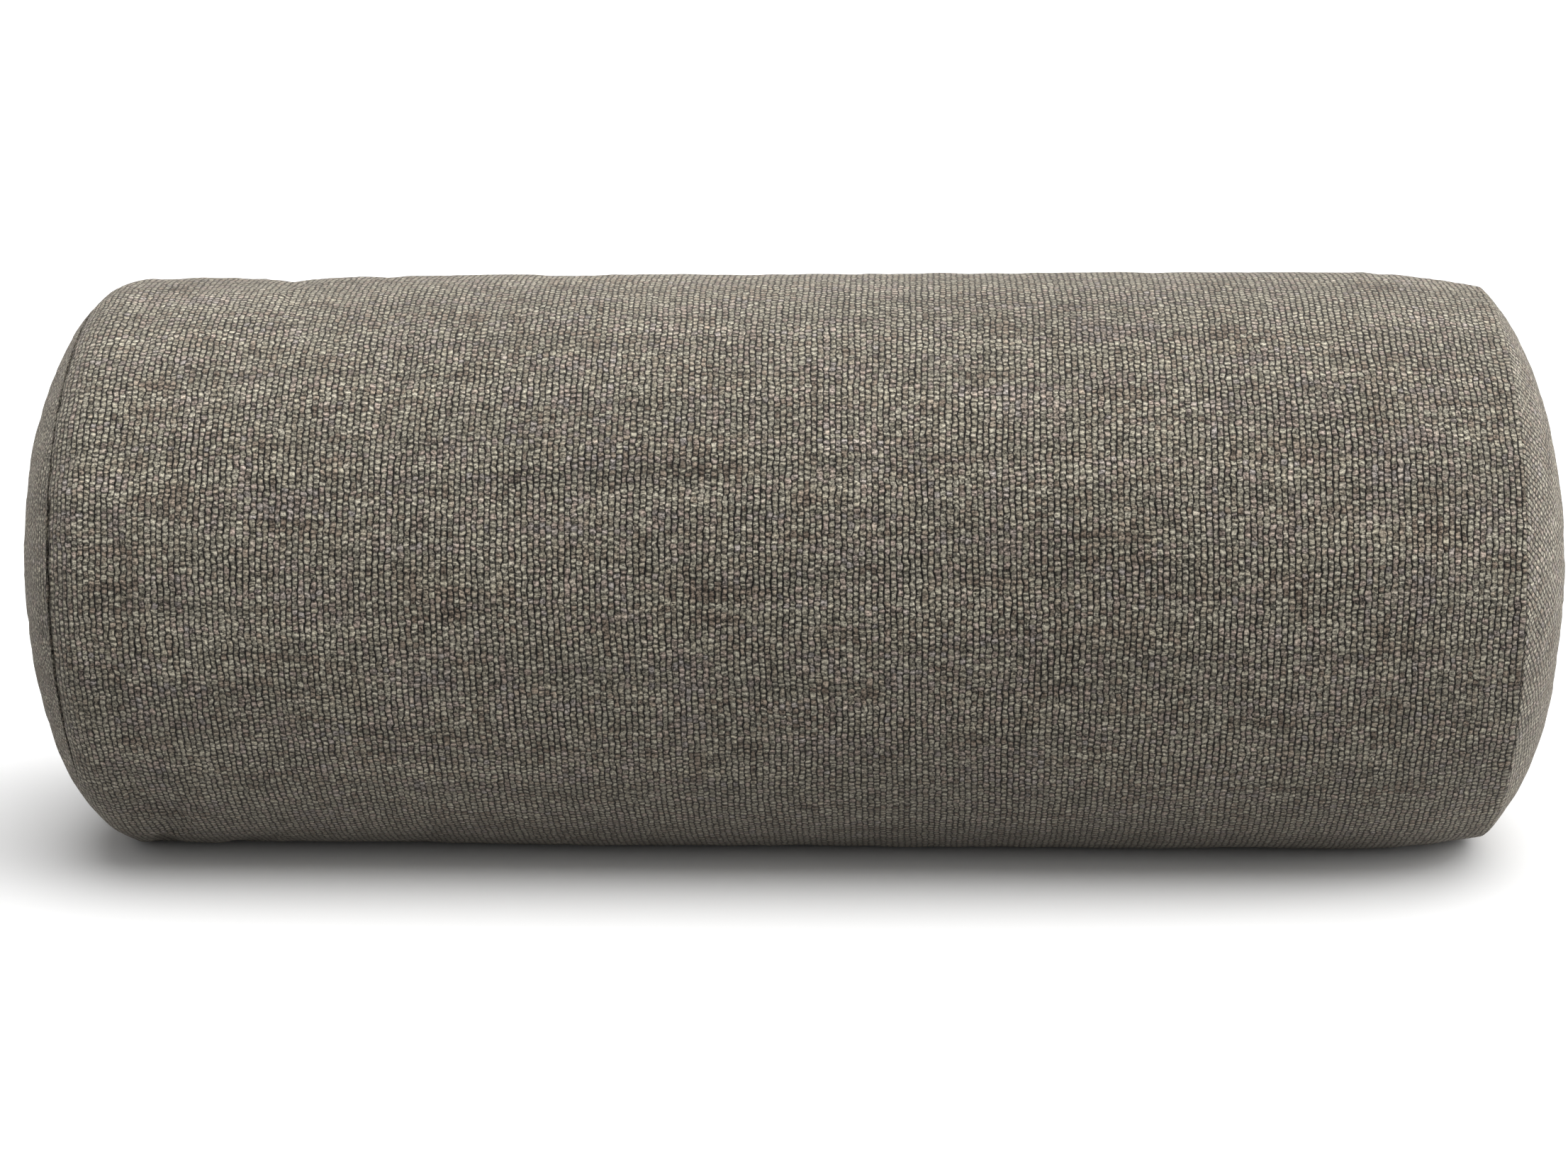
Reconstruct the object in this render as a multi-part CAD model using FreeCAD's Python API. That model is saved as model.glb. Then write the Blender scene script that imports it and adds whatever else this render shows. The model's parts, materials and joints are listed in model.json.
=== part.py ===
"""Bolster pillow: a zipped woven cover over an inner pillow of ticking, wadding and a foam core.

Frame: X runs along the bolster's axis, +Y is its rear, where the long seam and its zip lie, and +Z is up.
The origin is under the middle of the bolster, on the flattened strip that it rests on. Units are millimetres.
"""

import FreeCAD
import Part
import math
import os

# Overall size
LENGTH = 533.0
DIAMETER = 203.0
RADIUS = DIAMETER / 2
REST_SINK = 3.5
AXIS_HEIGHT = RADIUS - REST_SINK

# Outline of one end, from the straight body over the shoulder and the end seam to the domed disc
SEAM_X = 242.5
SEAM_RADIUS = 92.0
SEAM_ANGLE = 45.0
RIM_RADIUS = 40.0

# Fabric layers, measured inwards from the outer surface
COVER_THICKNESS = 1.5
LAYER_GAP = 0.2
ALLOWANCE_WIDTH = 10.0
TUBE_ALLOWANCE_START = 2 * COVER_THICKNESS + LAYER_GAP
TUBE_ALLOWANCE_END = TUBE_ALLOWANCE_START + COVER_THICKNESS
LINER_OFFSET = TUBE_ALLOWANCE_END + 0.3
LINER_THICKNESS = 0.6
FILL_OFFSET = LINER_OFFSET + LINER_THICKNESS + LAYER_GAP
THREAD_RADIUS = 0.3
THREAD_CLEARANCE = 0.1
LINER_THREAD_RADIUS = 0.12

# Fill
CORE_RADIUS = 70.0
CORE_HALF_LENGTH = 205.0
CORE_EDGE = 6.0

# Long seam and zip, in a frame turned so that its normal points out of the rear, a little above level
ZIP_ANGLE = 14.0
OPENING_HALF_LENGTH = 190.0
OPENING_HALF_WIDTH = 5.5
SEAM_SLIT_HALF_WIDTH = 0.4
LONG_ALLOWANCE_HALF_WIDTH = 15.0
TAPE_HALF_WIDTH = 14.0
TAPE_INNER_EDGE = 0.6
TAPE_OVERHANG = 9.0
TAPE_BOTTOM = 96.6
TAPE_TOP = 97.3
COIL_INNER_EDGE = 0.4
COIL_OUTER_EDGE = 3.0
COIL_TOP = 99.4
ZIP_FLAT = 94.9
STOP_X = 184.5
STOP_LENGTH = 3.0
STITCH_PITCH = 4.0
STITCH_LENGTH = 3.2
STITCH_LINE = 8.5
LADDER_PITCH = 3.0
LADDER_DEPTH = 2.2
TACK_LENGTH = 13.0
TACK_WIDTH = 2.4
TACK_HEIGHT = 0.6

# Slider and pull
SLIDER_X = 177.0
SLIDER_LENGTH = 9.4
SLIDER_HALF_WIDTH = 4.6
PLATE_THICKNESS = 1.2
TOP_PLATE_BOTTOM = 99.7
BOTTOM_PLATE_TOP = 96.3
FLANGE_INNER_EDGE = 3.5
FLANGE_BOTTOM = 97.7
POST_HALF_WIDTH = 0.25
POST_LENGTH = 2.6
BRIDGE_HALF_WIDTH = 1.0
BRIDGE_LENGTH = 6.4
BRIDGE_TOP = 104.8
BRIDGE_WALL = 0.9
PULL_AXIS_HEIGHT = 103.2
PULL_BAR_RADIUS = 0.6
PULL_THICKNESS = 1.4
PULL_LENGTH = 27.0
PULL_HALF_WIDTH = 3.4
PULL_NECK_HALF_WIDTH = 2.6
PULL_NECK_LENGTH = 6.0
PULL_EYE_HALF_WIDTH = 1.35
PULL_EYE_LENGTH = 3.4

BIG = 1000.0
ORIGIN = FreeCAD.Vector(0, 0, 0)
X_AXIS = FreeCAD.Vector(1, 0, 0)
Y_AXIS = FreeCAD.Vector(0, 1, 0)
Z_AXIS = FreeCAD.Vector(0, 0, 1)


# ---- Outline of the end: three tangent arcs, each a centre (x, radius) and an arc radius ----

SHOULDER_RADIUS = (RADIUS - SEAM_RADIUS) / (1 - math.sin(math.radians(SEAM_ANGLE)))
SHOULDER_X = SEAM_X - SHOULDER_RADIUS * math.cos(math.radians(SEAM_ANGLE))
SHOULDER = (SHOULDER_X, RADIUS - SHOULDER_RADIUS, SHOULDER_RADIUS)


def rim_arc():
    """The arc that leaves the seam square to the seam's own normal."""
    angle = math.radians(SEAM_ANGLE)
    return (
        SEAM_X - RIM_RADIUS * math.cos(angle),
        SEAM_RADIUS - RIM_RADIUS * math.sin(angle),
        RIM_RADIUS,
    )


def cap_arc(rim):
    """The arc centred on the axis that passes through the apex and is tangent to the rim arc."""
    reach = LENGTH / 2 - rim[0]
    radius = (reach**2 + rim[1] ** 2 - rim[2] ** 2) / (2 * (reach - rim[2]))
    return (LENGTH / 2 - radius, 0.0, radius)


RIM = rim_arc()
CAP = cap_arc(RIM)
CAP_ANGLE = math.degrees(math.atan2(RIM[1] - CAP[1], RIM[0] - CAP[0]))
ALLOWANCE_ANGLE = SEAM_ANGLE - math.degrees(ALLOWANCE_WIDTH / RIM_RADIUS)


def on_arc(arc, offset, degrees):
    """The point of an outline arc at an angle, moved inwards by offset."""
    angle = math.radians(degrees)
    radius = arc[2] - offset
    return FreeCAD.Vector(arc[0] + radius * math.cos(angle), 0, arc[1] + radius * math.sin(angle))


def arc_edge(arc, offset, start, end):
    points = [on_arc(arc, offset, a) for a in (start, (start + end) / 2, end)]
    return Part.Arc(*points).toShape()


def line_edge(start, end):
    return Part.LineSegment(start, end).toShape()


def revolved(edges):
    """The solid that a closed outline sweeps about the X axis, raised to the axis height."""
    face = Part.Face(Part.Wire(edges))
    solid = face.revolve(ORIGIN, X_AXIS, 360)
    solid.translate(FreeCAD.Vector(0, 0, AXIS_HEIGHT))
    return solid


def mirrored(shape):
    return shape.mirror(ORIGIN, X_AXIS)


def above(height):
    """Everything above a level plane."""
    return Part.makeBox(BIG, BIG, BIG, FreeCAD.Vector(-BIG / 2, -BIG / 2, height))


def in_zip_frame(shape):
    """Turns a shape about the axis: its local Z becomes the zip's outward normal and its local -Y points up."""
    turned = shape.copy()
    turned.rotate(ORIGIN, X_AXIS, ZIP_ANGLE - 90)
    turned.translate(FreeCAD.Vector(0, 0, AXIS_HEIGHT))
    return turned


def box(x, y, z):
    """A box between pairs of limits."""
    corner = FreeCAD.Vector(x[0], y[0], z[0])
    return Part.makeBox(x[1] - x[0], y[1] - y[0], z[1] - z[0], corner)


# ---- Nested bodies ----


def half_body(offset, end_offset):
    """The right half of the straight body and its shoulder, moved inwards by offset, closed at the seam."""
    seam_outer = on_arc(SHOULDER, offset, SEAM_ANGLE)
    seam_inner = on_arc(SHOULDER, end_offset, SEAM_ANGLE)
    start = FreeCAD.Vector(0, 0, RADIUS - offset)
    turn = on_arc(SHOULDER, offset, 90)
    foot = FreeCAD.Vector(seam_inner.x, 0, 0)
    edges = [
        line_edge(ORIGIN, start),
        line_edge(start, turn),
        arc_edge(SHOULDER, offset, 90, SEAM_ANGLE),
        line_edge(seam_inner, foot),
        line_edge(foot, ORIGIN),
    ]
    if end_offset > offset:
        edges.insert(3, line_edge(seam_outer, seam_inner))
    return revolved(edges)


def body(offset, end_offset, zip_flat=None):
    """The straight body and both shoulders, flattened underneath and, if asked, under the zip."""
    half = half_body(offset, end_offset)
    whole = half.fuse(mirrored(half)).common(above(offset))
    if zip_flat is not None:
        under_zip = box((-BIG / 2, BIG / 2), (-BIG / 2, BIG / 2), (-BIG, zip_flat))
        whole = whole.common(in_zip_frame(under_zip))
    return whole.removeSplitter()


def wall(offset, thickness, zip_flat=None):
    """A tube of fabric from seam to seam."""
    inner_flat = None if zip_flat is None else zip_flat - thickness
    outer = body(offset, offset + thickness, zip_flat)
    return outer.cut(body(offset + thickness, offset + thickness, inner_flat))


def disc(offset, thickness, start_angle):
    """A domed disc of fabric from the end seam to the apex."""
    inner = offset + thickness
    apex_outer = on_arc(CAP, offset, 0)
    apex_inner = on_arc(CAP, inner, 0)
    return revolved(
        [
            arc_edge(RIM, offset, start_angle, CAP_ANGLE),
            arc_edge(CAP, offset, CAP_ANGLE, 0),
            line_edge(apex_outer, apex_inner),
            arc_edge(CAP, inner, 0, CAP_ANGLE),
            arc_edge(RIM, inner, CAP_ANGLE, start_angle),
            line_edge(on_arc(RIM, inner, start_angle), on_arc(RIM, offset, start_angle)),
        ]
    )


def rim_band(start_offset, end_offset, start_angle, end_angle):
    """A ring that follows the rim arc inside the end panel."""
    corners = [
        on_arc(RIM, start_offset, end_angle),
        on_arc(RIM, end_offset, end_angle),
        on_arc(RIM, end_offset, start_angle),
        on_arc(RIM, start_offset, start_angle),
    ]
    return revolved(
        [
            arc_edge(RIM, start_offset, start_angle, end_angle),
            line_edge(corners[0], corners[1]),
            arc_edge(RIM, end_offset, end_angle, start_angle),
            line_edge(corners[2], corners[3]),
        ]
    )


def turned_edge():
    """The step by which the tube's fabric turns in at the seam, down to its allowance."""
    angle = SEAM_ANGLE + math.degrees(COVER_THICKNESS / SHOULDER_RADIUS)
    top, bottom = COVER_THICKNESS / 2, TUBE_ALLOWANCE_END
    return revolved(
        [
            arc_edge(SHOULDER, top, angle, SEAM_ANGLE),
            line_edge(on_arc(SHOULDER, top, SEAM_ANGLE), on_arc(SHOULDER, bottom, SEAM_ANGLE)),
            arc_edge(SHOULDER, bottom, SEAM_ANGLE, angle),
            line_edge(on_arc(SHOULDER, bottom, angle), on_arc(SHOULDER, top, angle)),
        ]
    )


def seam_ring(radius):
    """A ring that runs round the end seam, inside the fabric's thickness."""
    centre = on_arc(SHOULDER, COVER_THICKNESS * 0.6, SEAM_ANGLE)
    ring = Part.makeTorus(centre.z, radius, ORIGIN, X_AXIS)
    ring.translate(FreeCAD.Vector(centre.x, 0, AXIS_HEIGHT))
    return ring


# ---- Cover ----


def cover_tube():
    """The body panel with its turned-in edges, open along the long seam and wider there at the zip."""
    tube = wall(0, COVER_THICKNESS)
    turned = turned_edge().fuse(
        rim_band(TUBE_ALLOWANCE_START, TUBE_ALLOWANCE_END, SEAM_ANGLE, ALLOWANCE_ANGLE)
    )
    inner = RADIUS - 2 * COVER_THICKNESS
    ring = Part.makeCylinder(RADIUS - COVER_THICKNESS / 2, 2 * SHOULDER_X, ORIGIN, X_AXIS)
    ring = ring.cut(Part.makeCylinder(inner, 2 * SHOULDER_X, ORIGIN, X_AXIS))
    ring.translate(FreeCAD.Vector(-SHOULDER_X, 0, 0))
    reach = LONG_ALLOWANCE_HALF_WIDTH
    strip = in_zip_frame(ring.common(box((-BIG / 2, BIG / 2), (-reach, reach), (0, BIG))))
    tube = tube.fuse([turned, mirrored(turned), strip])
    half = OPENING_HALF_WIDTH
    opening = box((-OPENING_HALF_LENGTH, OPENING_HALF_LENGTH), (-half, half), (RADIUS / 2, BIG))
    slit = SEAM_SLIT_HALF_WIDTH
    long_seam = box((-LENGTH, LENGTH), (-slit, slit), (RADIUS / 2, BIG))
    thread = seam_ring(THREAD_RADIUS + THREAD_CLEARANCE)
    cuts = [in_zip_frame(opening), in_zip_frame(long_seam), thread, mirrored(thread)]
    return tube.cut(cuts).removeSplitter()


def cover_end():
    """An end panel with its turned-in edge, just clear of the tube's."""
    start = SEAM_ANGLE - math.degrees(LAYER_GAP / RIM_RADIUS)
    allowance = rim_band(COVER_THICKNESS / 2, 2 * COVER_THICKNESS, start, ALLOWANCE_ANGLE)
    panel = disc(0, COVER_THICKNESS, start).fuse(allowance)
    return panel.cut(seam_ring(THREAD_RADIUS + THREAD_CLEARANCE)).removeSplitter()


# ---- Inner pillow ----


def liner_end():
    start = SEAM_ANGLE - math.degrees(LAYER_GAP / RIM_RADIUS)
    return disc(LINER_OFFSET, LINER_THICKNESS, start)


def liner_seam_ring():
    """Thread round the liner's end seam, between the liner and the cover's turned-in edges."""
    centre = on_arc(SHOULDER, (TUBE_ALLOWANCE_END + LINER_OFFSET) / 2, SEAM_ANGLE)
    ring = Part.makeTorus(centre.z, LINER_THREAD_RADIUS, ORIGIN, X_AXIS)
    ring.translate(FreeCAD.Vector(centre.x, 0, AXIS_HEIGHT))
    return ring


def fill_flats():
    """The space left for the fill by the flats under the pillow and under the zip."""
    flat = ZIP_FLAT - LINER_THICKNESS - LAYER_GAP
    under_zip = box((-BIG / 2, BIG / 2), (-BIG / 2, BIG / 2), (-BIG, flat))
    return above(FILL_OFFSET).common(in_zip_frame(under_zip))


def fibre_wrap():
    outer = Part.makeCylinder(RADIUS - FILL_OFFSET, 2 * CORE_HALF_LENGTH, ORIGIN, X_AXIS)
    wrap = outer.cut(Part.makeCylinder(CORE_RADIUS + LAYER_GAP, 2 * CORE_HALF_LENGTH, ORIGIN, X_AXIS))
    wrap.translate(FreeCAD.Vector(-CORE_HALF_LENGTH, 0, AXIS_HEIGHT))
    return wrap.common(fill_flats())


def fibre_pad():
    """The wadding between the core's end and the domed liner."""
    start_x = CORE_HALF_LENGTH + LAYER_GAP
    foot = FreeCAD.Vector(start_x, 0, 0)
    top = FreeCAD.Vector(start_x, 0, RADIUS - FILL_OFFSET)
    pad = revolved(
        [
            line_edge(foot, top),
            line_edge(top, on_arc(SHOULDER, FILL_OFFSET, 90)),
            arc_edge(SHOULDER, FILL_OFFSET, 90, SEAM_ANGLE),
            arc_edge(RIM, FILL_OFFSET, SEAM_ANGLE, CAP_ANGLE),
            arc_edge(CAP, FILL_OFFSET, CAP_ANGLE, 0),
            line_edge(on_arc(CAP, FILL_OFFSET, 0), foot),
        ]
    )
    return pad.common(fill_flats())


def foam_core():
    core = Part.makeCylinder(CORE_RADIUS, 2 * CORE_HALF_LENGTH, ORIGIN, X_AXIS)
    rims = [e for e in core.Edges if e.Curve.TypeId == "Part::GeomCircle"]
    core = core.makeChamfer(CORE_EDGE, rims)
    core.translate(FreeCAD.Vector(-CORE_HALF_LENGTH, 0, AXIS_HEIGHT))
    return core


# ---- Long seam and zip ----


def sided(limits, side):
    """Limits measured outwards from the middle, on one side: -1 is the upper side and 1 the lower."""
    return tuple(sorted((side * limits[0], side * limits[1])))


def zip_tape(side):
    reach = OPENING_HALF_LENGTH + TAPE_OVERHANG
    across = sided((TAPE_INNER_EDGE, TAPE_HALF_WIDTH), side)
    return in_zip_frame(box((-reach, reach), across, (TAPE_BOTTOM, TAPE_TOP)))


def zip_coil(side):
    """One side of the closed chain, as a bar with rounded outer corners."""
    across = sided((COIL_INNER_EDGE, COIL_OUTER_EDGE), side)
    reach = STOP_X - LAYER_GAP
    coil = box((-reach, reach), across, (TAPE_TOP, COIL_TOP))
    edge_y = side * COIL_OUTER_EDGE
    outer = [
        e
        for e in coil.Edges
        if e.Length > reach
        and abs(e.CenterOfMass.y - edge_y) < LAYER_GAP
        and abs(e.CenterOfMass.z - COIL_TOP) < LAYER_GAP
    ]
    return in_zip_frame(coil.makeFillet(COIL_OUTER_EDGE / 3, outer))


def zip_stop(start_x, across):
    return box((start_x, start_x + STOP_LENGTH), across, (TAPE_TOP, COIL_TOP))


def zip_top_stops():
    pair = [zip_stop(STOP_X, sided((COIL_INNER_EDGE, COIL_OUTER_EDGE), side)) for side in (-1, 1)]
    return in_zip_frame(Part.makeCompound(pair))


def zip_bottom_stop():
    across = (-COIL_OUTER_EDGE, COIL_OUTER_EDGE)
    return in_zip_frame(zip_stop(-STOP_X - STOP_LENGTH, across))


def zip_stitches(side):
    """A row of topstitching on the folded edge beside the zip."""
    count = int(2 * OPENING_HALF_LENGTH / STITCH_PITCH)
    surface = math.sqrt(RADIUS**2 - (STITCH_LINE - THREAD_RADIUS) ** 2)
    across = sided((STITCH_LINE - THREAD_RADIUS, STITCH_LINE + THREAD_RADIUS), side)
    height = (surface + THREAD_CLEARANCE / 5, surface + THREAD_RADIUS)
    first = -count * STITCH_PITCH / 2 + (STITCH_PITCH - STITCH_LENGTH) / 2
    starts = [first + i * STITCH_PITCH for i in range(count)]
    rows = [box((x, x + STITCH_LENGTH), across, height) for x in starts]
    return in_zip_frame(Part.makeCompound(rows))


def long_seam_thread():
    """The thread that crosses the closed long seam like the rungs of a ladder, beyond both ends of the zip."""
    half = SEAM_SLIT_HALF_WIDTH - THREAD_CLEARANCE / 2
    first = OPENING_HALF_LENGTH + LADDER_PITCH
    count = int((SHOULDER_X - first) / LADDER_PITCH) + 1
    rungs = []
    for i in range(count):
        base = FreeCAD.Vector(first + i * LADDER_PITCH, -half, RADIUS - LADDER_DEPTH)
        rung = Part.makeCylinder(THREAD_RADIUS, 2 * half, base, Y_AXIS)
        rungs += [rung, mirrored(rung)]
    return in_zip_frame(Part.makeCompound(rungs))


def bar_tacks():
    """Dense tacks across the seam, just beyond each end of the zip opening."""
    start = OPENING_HALF_LENGTH + TACK_WIDTH / 3
    bottom = RADIUS + THREAD_CLEARANCE / 5
    across = (-TACK_LENGTH / 2, TACK_LENGTH / 2)
    tack = box((start, start + TACK_WIDTH), across, (bottom, bottom + TACK_HEIGHT))
    return in_zip_frame(Part.makeCompound([tack, mirrored(tack)]))


def zip_slider():
    """Two plates joined by the post between the coils, flanges beside the coils and the bridge for the pull."""
    x = (SLIDER_X - SLIDER_LENGTH / 2, SLIDER_X + SLIDER_LENGTH / 2)
    across = (-SLIDER_HALF_WIDTH, SLIDER_HALF_WIDTH)
    top = TOP_PLATE_BOTTOM + PLATE_THICKNESS
    plate = box(x, across, (TOP_PLATE_BOTTOM, top))
    upright = [e for e in plate.Edges if abs(e.tangentAt(0).z) > 0.5]
    plate = plate.makeFillet(SLIDER_HALF_WIDTH / 3, upright)
    base = box(x, across, (BOTTOM_PLATE_TOP - PLATE_THICKNESS, BOTTOM_PLATE_TOP))
    upright = [e for e in base.Edges if abs(e.tangentAt(0).z) > 0.5]
    base = base.makeFillet(SLIDER_HALF_WIDTH / 3, upright)
    trim = SLIDER_HALF_WIDTH / 3
    flange_x = (x[0] + trim, x[1] - trim)
    flanges = [
        box(flange_x, sided((FLANGE_INNER_EDGE, SLIDER_HALF_WIDTH), side), (FLANGE_BOTTOM, top))
        for side in (-1, 1)
    ]
    post_x = (x[1] - POST_LENGTH, x[1] - THREAD_CLEARANCE)
    post = box(post_x, (-POST_HALF_WIDTH, POST_HALF_WIDTH), (BOTTOM_PLATE_TOP, TOP_PLATE_BOTTOM))
    half = BRIDGE_LENGTH / 2
    arch = box(
        (SLIDER_X - half, SLIDER_X + half),
        (-BRIDGE_HALF_WIDTH, BRIDGE_HALF_WIDTH),
        (top, BRIDGE_TOP),
    )
    corners = [
        e
        for e in arch.Edges
        if abs(e.tangentAt(0).y) > 0.5 and e.CenterOfMass.z > top + LAYER_GAP
    ]
    arch = arch.makeFillet(BRIDGE_WALL, corners)
    window = box(
        (SLIDER_X - half + BRIDGE_WALL, SLIDER_X + half - BRIDGE_WALL),
        (-BRIDGE_HALF_WIDTH, BRIDGE_HALF_WIDTH),
        (top, BRIDGE_TOP - BRIDGE_WALL),
    )
    slider = plate.fuse([base, post, arch.cut(window)] + flanges)
    return in_zip_frame(slider.removeSplitter())


def zip_pull():
    """The tab, with an eye round the slider's bridge and a round bar under it, lying along the closed chain."""
    height = (PULL_AXIS_HEIGHT - PULL_THICKNESS / 2, PULL_AXIS_HEIGHT + PULL_THICKNESS / 2)
    neck_start = SLIDER_X + PULL_BAR_RADIUS
    neck_end = SLIDER_X - PULL_NECK_LENGTH
    tab_end = SLIDER_X - PULL_LENGTH
    neck = box((neck_end, neck_start), (-PULL_NECK_HALF_WIDTH, PULL_NECK_HALF_WIDTH), height)
    tab = box((tab_end, neck_end), (-PULL_HALF_WIDTH, PULL_HALF_WIDTH), height)
    end_corners = [
        e
        for e in tab.Edges
        if abs(e.tangentAt(0).z) > 0.5 and e.CenterOfMass.x < tab_end + LAYER_GAP
    ]
    tab = tab.makeFillet(PULL_HALF_WIDTH * 0.8, end_corners)
    eye = box(
        (SLIDER_X - PULL_EYE_LENGTH, SLIDER_X + BIG),
        (-PULL_EYE_HALF_WIDTH, PULL_EYE_HALF_WIDTH),
        (height[0] - PULL_THICKNESS, height[1] + PULL_THICKNESS),
    )
    bar_start = FreeCAD.Vector(SLIDER_X, -PULL_EYE_HALF_WIDTH - THREAD_RADIUS, PULL_AXIS_HEIGHT)
    bar_length = 2 * (PULL_EYE_HALF_WIDTH + THREAD_RADIUS)
    bar = Part.makeCylinder(PULL_BAR_RADIUS, bar_length, bar_start, Y_AXIS)
    pull = neck.fuse(tab).cut(eye).fuse(bar)
    hole = Part.makeCylinder(
        PULL_HALF_WIDTH * 0.45,
        3 * PULL_THICKNESS,
        FreeCAD.Vector(tab_end + PULL_HALF_WIDTH * 1.3, 0, height[0] - PULL_THICKNESS),
        Z_AXIS,
    )
    return in_zip_frame(pull.cut(hole).removeSplitter())


# ---- Files ----


def parts():
    """Every sub-part by its node's name."""
    end_panel = cover_end()
    thread = seam_ring(THREAD_RADIUS)
    inner_end = liner_end()
    ring = liner_seam_ring()
    pad = fibre_pad()
    return {
        "cover_tube": cover_tube(),
        "cover_end_left": mirrored(end_panel),
        "cover_end_right": end_panel,
        "end_seam_thread_left": mirrored(thread),
        "end_seam_thread_right": thread,
        "long_seam_thread": long_seam_thread(),
        "zip_tape_upper": zip_tape(-1),
        "zip_tape_lower": zip_tape(1),
        "zip_coil_upper": zip_coil(-1),
        "zip_coil_lower": zip_coil(1),
        "zip_top_stops": zip_top_stops(),
        "zip_bottom_stop": zip_bottom_stop(),
        "zip_stitch_upper": zip_stitches(-1),
        "zip_stitch_lower": zip_stitches(1),
        "bar_tacks": bar_tacks(),
        "zip_slider": zip_slider(),
        "zip_pull": zip_pull(),
        "liner_tube": wall(LINER_OFFSET, LINER_THICKNESS, ZIP_FLAT),
        "liner_end_left": mirrored(inner_end),
        "liner_end_right": inner_end,
        "liner_seam_threads": Part.makeCompound([ring, mirrored(ring)]),
        "fibre_wrap": fibre_wrap(),
        "fibre_pad_left": mirrored(pad),
        "fibre_pad_right": pad,
        "foam_core": foam_core(),
    }


def main():
    os.makedirs("parts", exist_ok=True)
    for name, shape in parts().items():
        shape.exportStep("parts/" + name + ".step")
        print(f"{name:24s} solids {len(shape.Solids):3d}  volume {shape.Volume:12.1f} mm3  valid {shape.isValid()}")


main()
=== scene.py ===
"""Bolster pillow: a chunky woven cover with a rear zip, over a pillow of ticking, wadding and foam.

X runs along the bolster's axis, +Y is its rear and +Z is up. Everything is in metres.
An angle round the axis starts at the zip and grows towards the underside.
Outlines are lists of (x, radius), drawn for the +X side and mirrored for the other.
"""

import json
import math

import bmesh
import bpy
import numpy as np
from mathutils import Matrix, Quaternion, Vector


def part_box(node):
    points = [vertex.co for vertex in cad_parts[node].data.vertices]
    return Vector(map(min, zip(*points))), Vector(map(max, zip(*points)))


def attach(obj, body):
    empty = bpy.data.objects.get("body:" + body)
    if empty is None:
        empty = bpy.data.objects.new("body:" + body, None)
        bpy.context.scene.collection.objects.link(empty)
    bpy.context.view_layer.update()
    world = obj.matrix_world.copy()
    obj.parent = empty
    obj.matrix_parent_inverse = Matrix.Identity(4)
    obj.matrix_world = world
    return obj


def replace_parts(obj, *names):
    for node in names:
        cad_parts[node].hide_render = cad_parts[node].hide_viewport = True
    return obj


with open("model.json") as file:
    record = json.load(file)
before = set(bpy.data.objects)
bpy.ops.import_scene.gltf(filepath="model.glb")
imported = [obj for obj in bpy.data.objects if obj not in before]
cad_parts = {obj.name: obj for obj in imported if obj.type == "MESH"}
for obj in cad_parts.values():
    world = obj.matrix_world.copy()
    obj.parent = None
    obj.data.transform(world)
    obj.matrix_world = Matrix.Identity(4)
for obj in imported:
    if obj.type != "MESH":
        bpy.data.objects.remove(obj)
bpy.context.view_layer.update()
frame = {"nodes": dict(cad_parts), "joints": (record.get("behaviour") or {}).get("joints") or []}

MM = 0.001
FULL_TURN = 2 * math.pi

# ---- Places taken from the frame ----

TUBE_LOW, TUBE_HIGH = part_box("cover_tube")
RADIUS = -TUBE_LOW.y
AXIS_HEIGHT = TUBE_HIGH.z - RADIUS
HALF_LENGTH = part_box("cover_end_right")[1].x
AROUND = FULL_TURN * RADIUS
HINGE_AXIS = Vector(next(j["axis"] for j in frame["joints"] if j["name"] == "pull_swing"))
ZIP_ANGLE = math.atan2(HINGE_AXIS.y, -HINGE_AXIS.z)
CHAIN_HALF_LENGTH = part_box("zip_coil_upper")[1].x
TAPE_HALF_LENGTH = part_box("zip_tape_upper")[1].x
TACK_WIDTH = 2.4 * MM
TACK_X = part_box("bar_tacks")[1].x - TACK_WIDTH / 2
CORE_HALF_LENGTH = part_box("foam_core")[1].x
CORE_RADIUS = (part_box("foam_core")[1].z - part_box("foam_core")[0].z) / 2

# ---- Shape of the cover ----

CLOTH_THICKNESS = 1.5 * MM
SEAM_TURN = 0.25 * MM
SEAM_TUCK = 3 * MM
SEAM_FADE = 4 * MM
FOLD_RADIUS = 1.55 * MM
FLAP_GAP = 0.1 * MM
ALLOWANCE = 15 * MM
OPENING_HALF_WIDTH = 5.5 * MM
SEAM_HALF_GAP = 0.12 * MM
OPENING_END = 186.5 * MM
OPENING_CLOSED = 192 * MM
STITCH_LINE = 8.5 * MM
STITCH_PITCH = 4 * MM
STITCH_LENGTH = 3.2 * MM
THREAD_RADIUS = 0.28 * MM
ABOUT_SEAM_X = 240 * MM

# Each end: where its seam and apex are, and in degrees how far it leans out of square, and the
# outward normals of the body and of the dome where they meet at the seam
ENDS = {
    -1: {
        "name": "left",
        "seam_x": 241.2 * MM,
        "seam_radius": 95.4 * MM,
        "apex": 266.6 * MM,
        "lean": -0.35,
        "body_normal": 42,
        "dome_normal": 52,
    },
    1: {
        "name": "right",
        "seam_x": 240.8 * MM,
        "seam_radius": 95.9 * MM,
        "apex": 267.6 * MM,
        "lean": -0.32,
        "body_normal": 78,
        "dome_normal": 46,
    },
}

# ---- Inner pillow and zip, as distances from the axis or below the cover's outside ----

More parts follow.
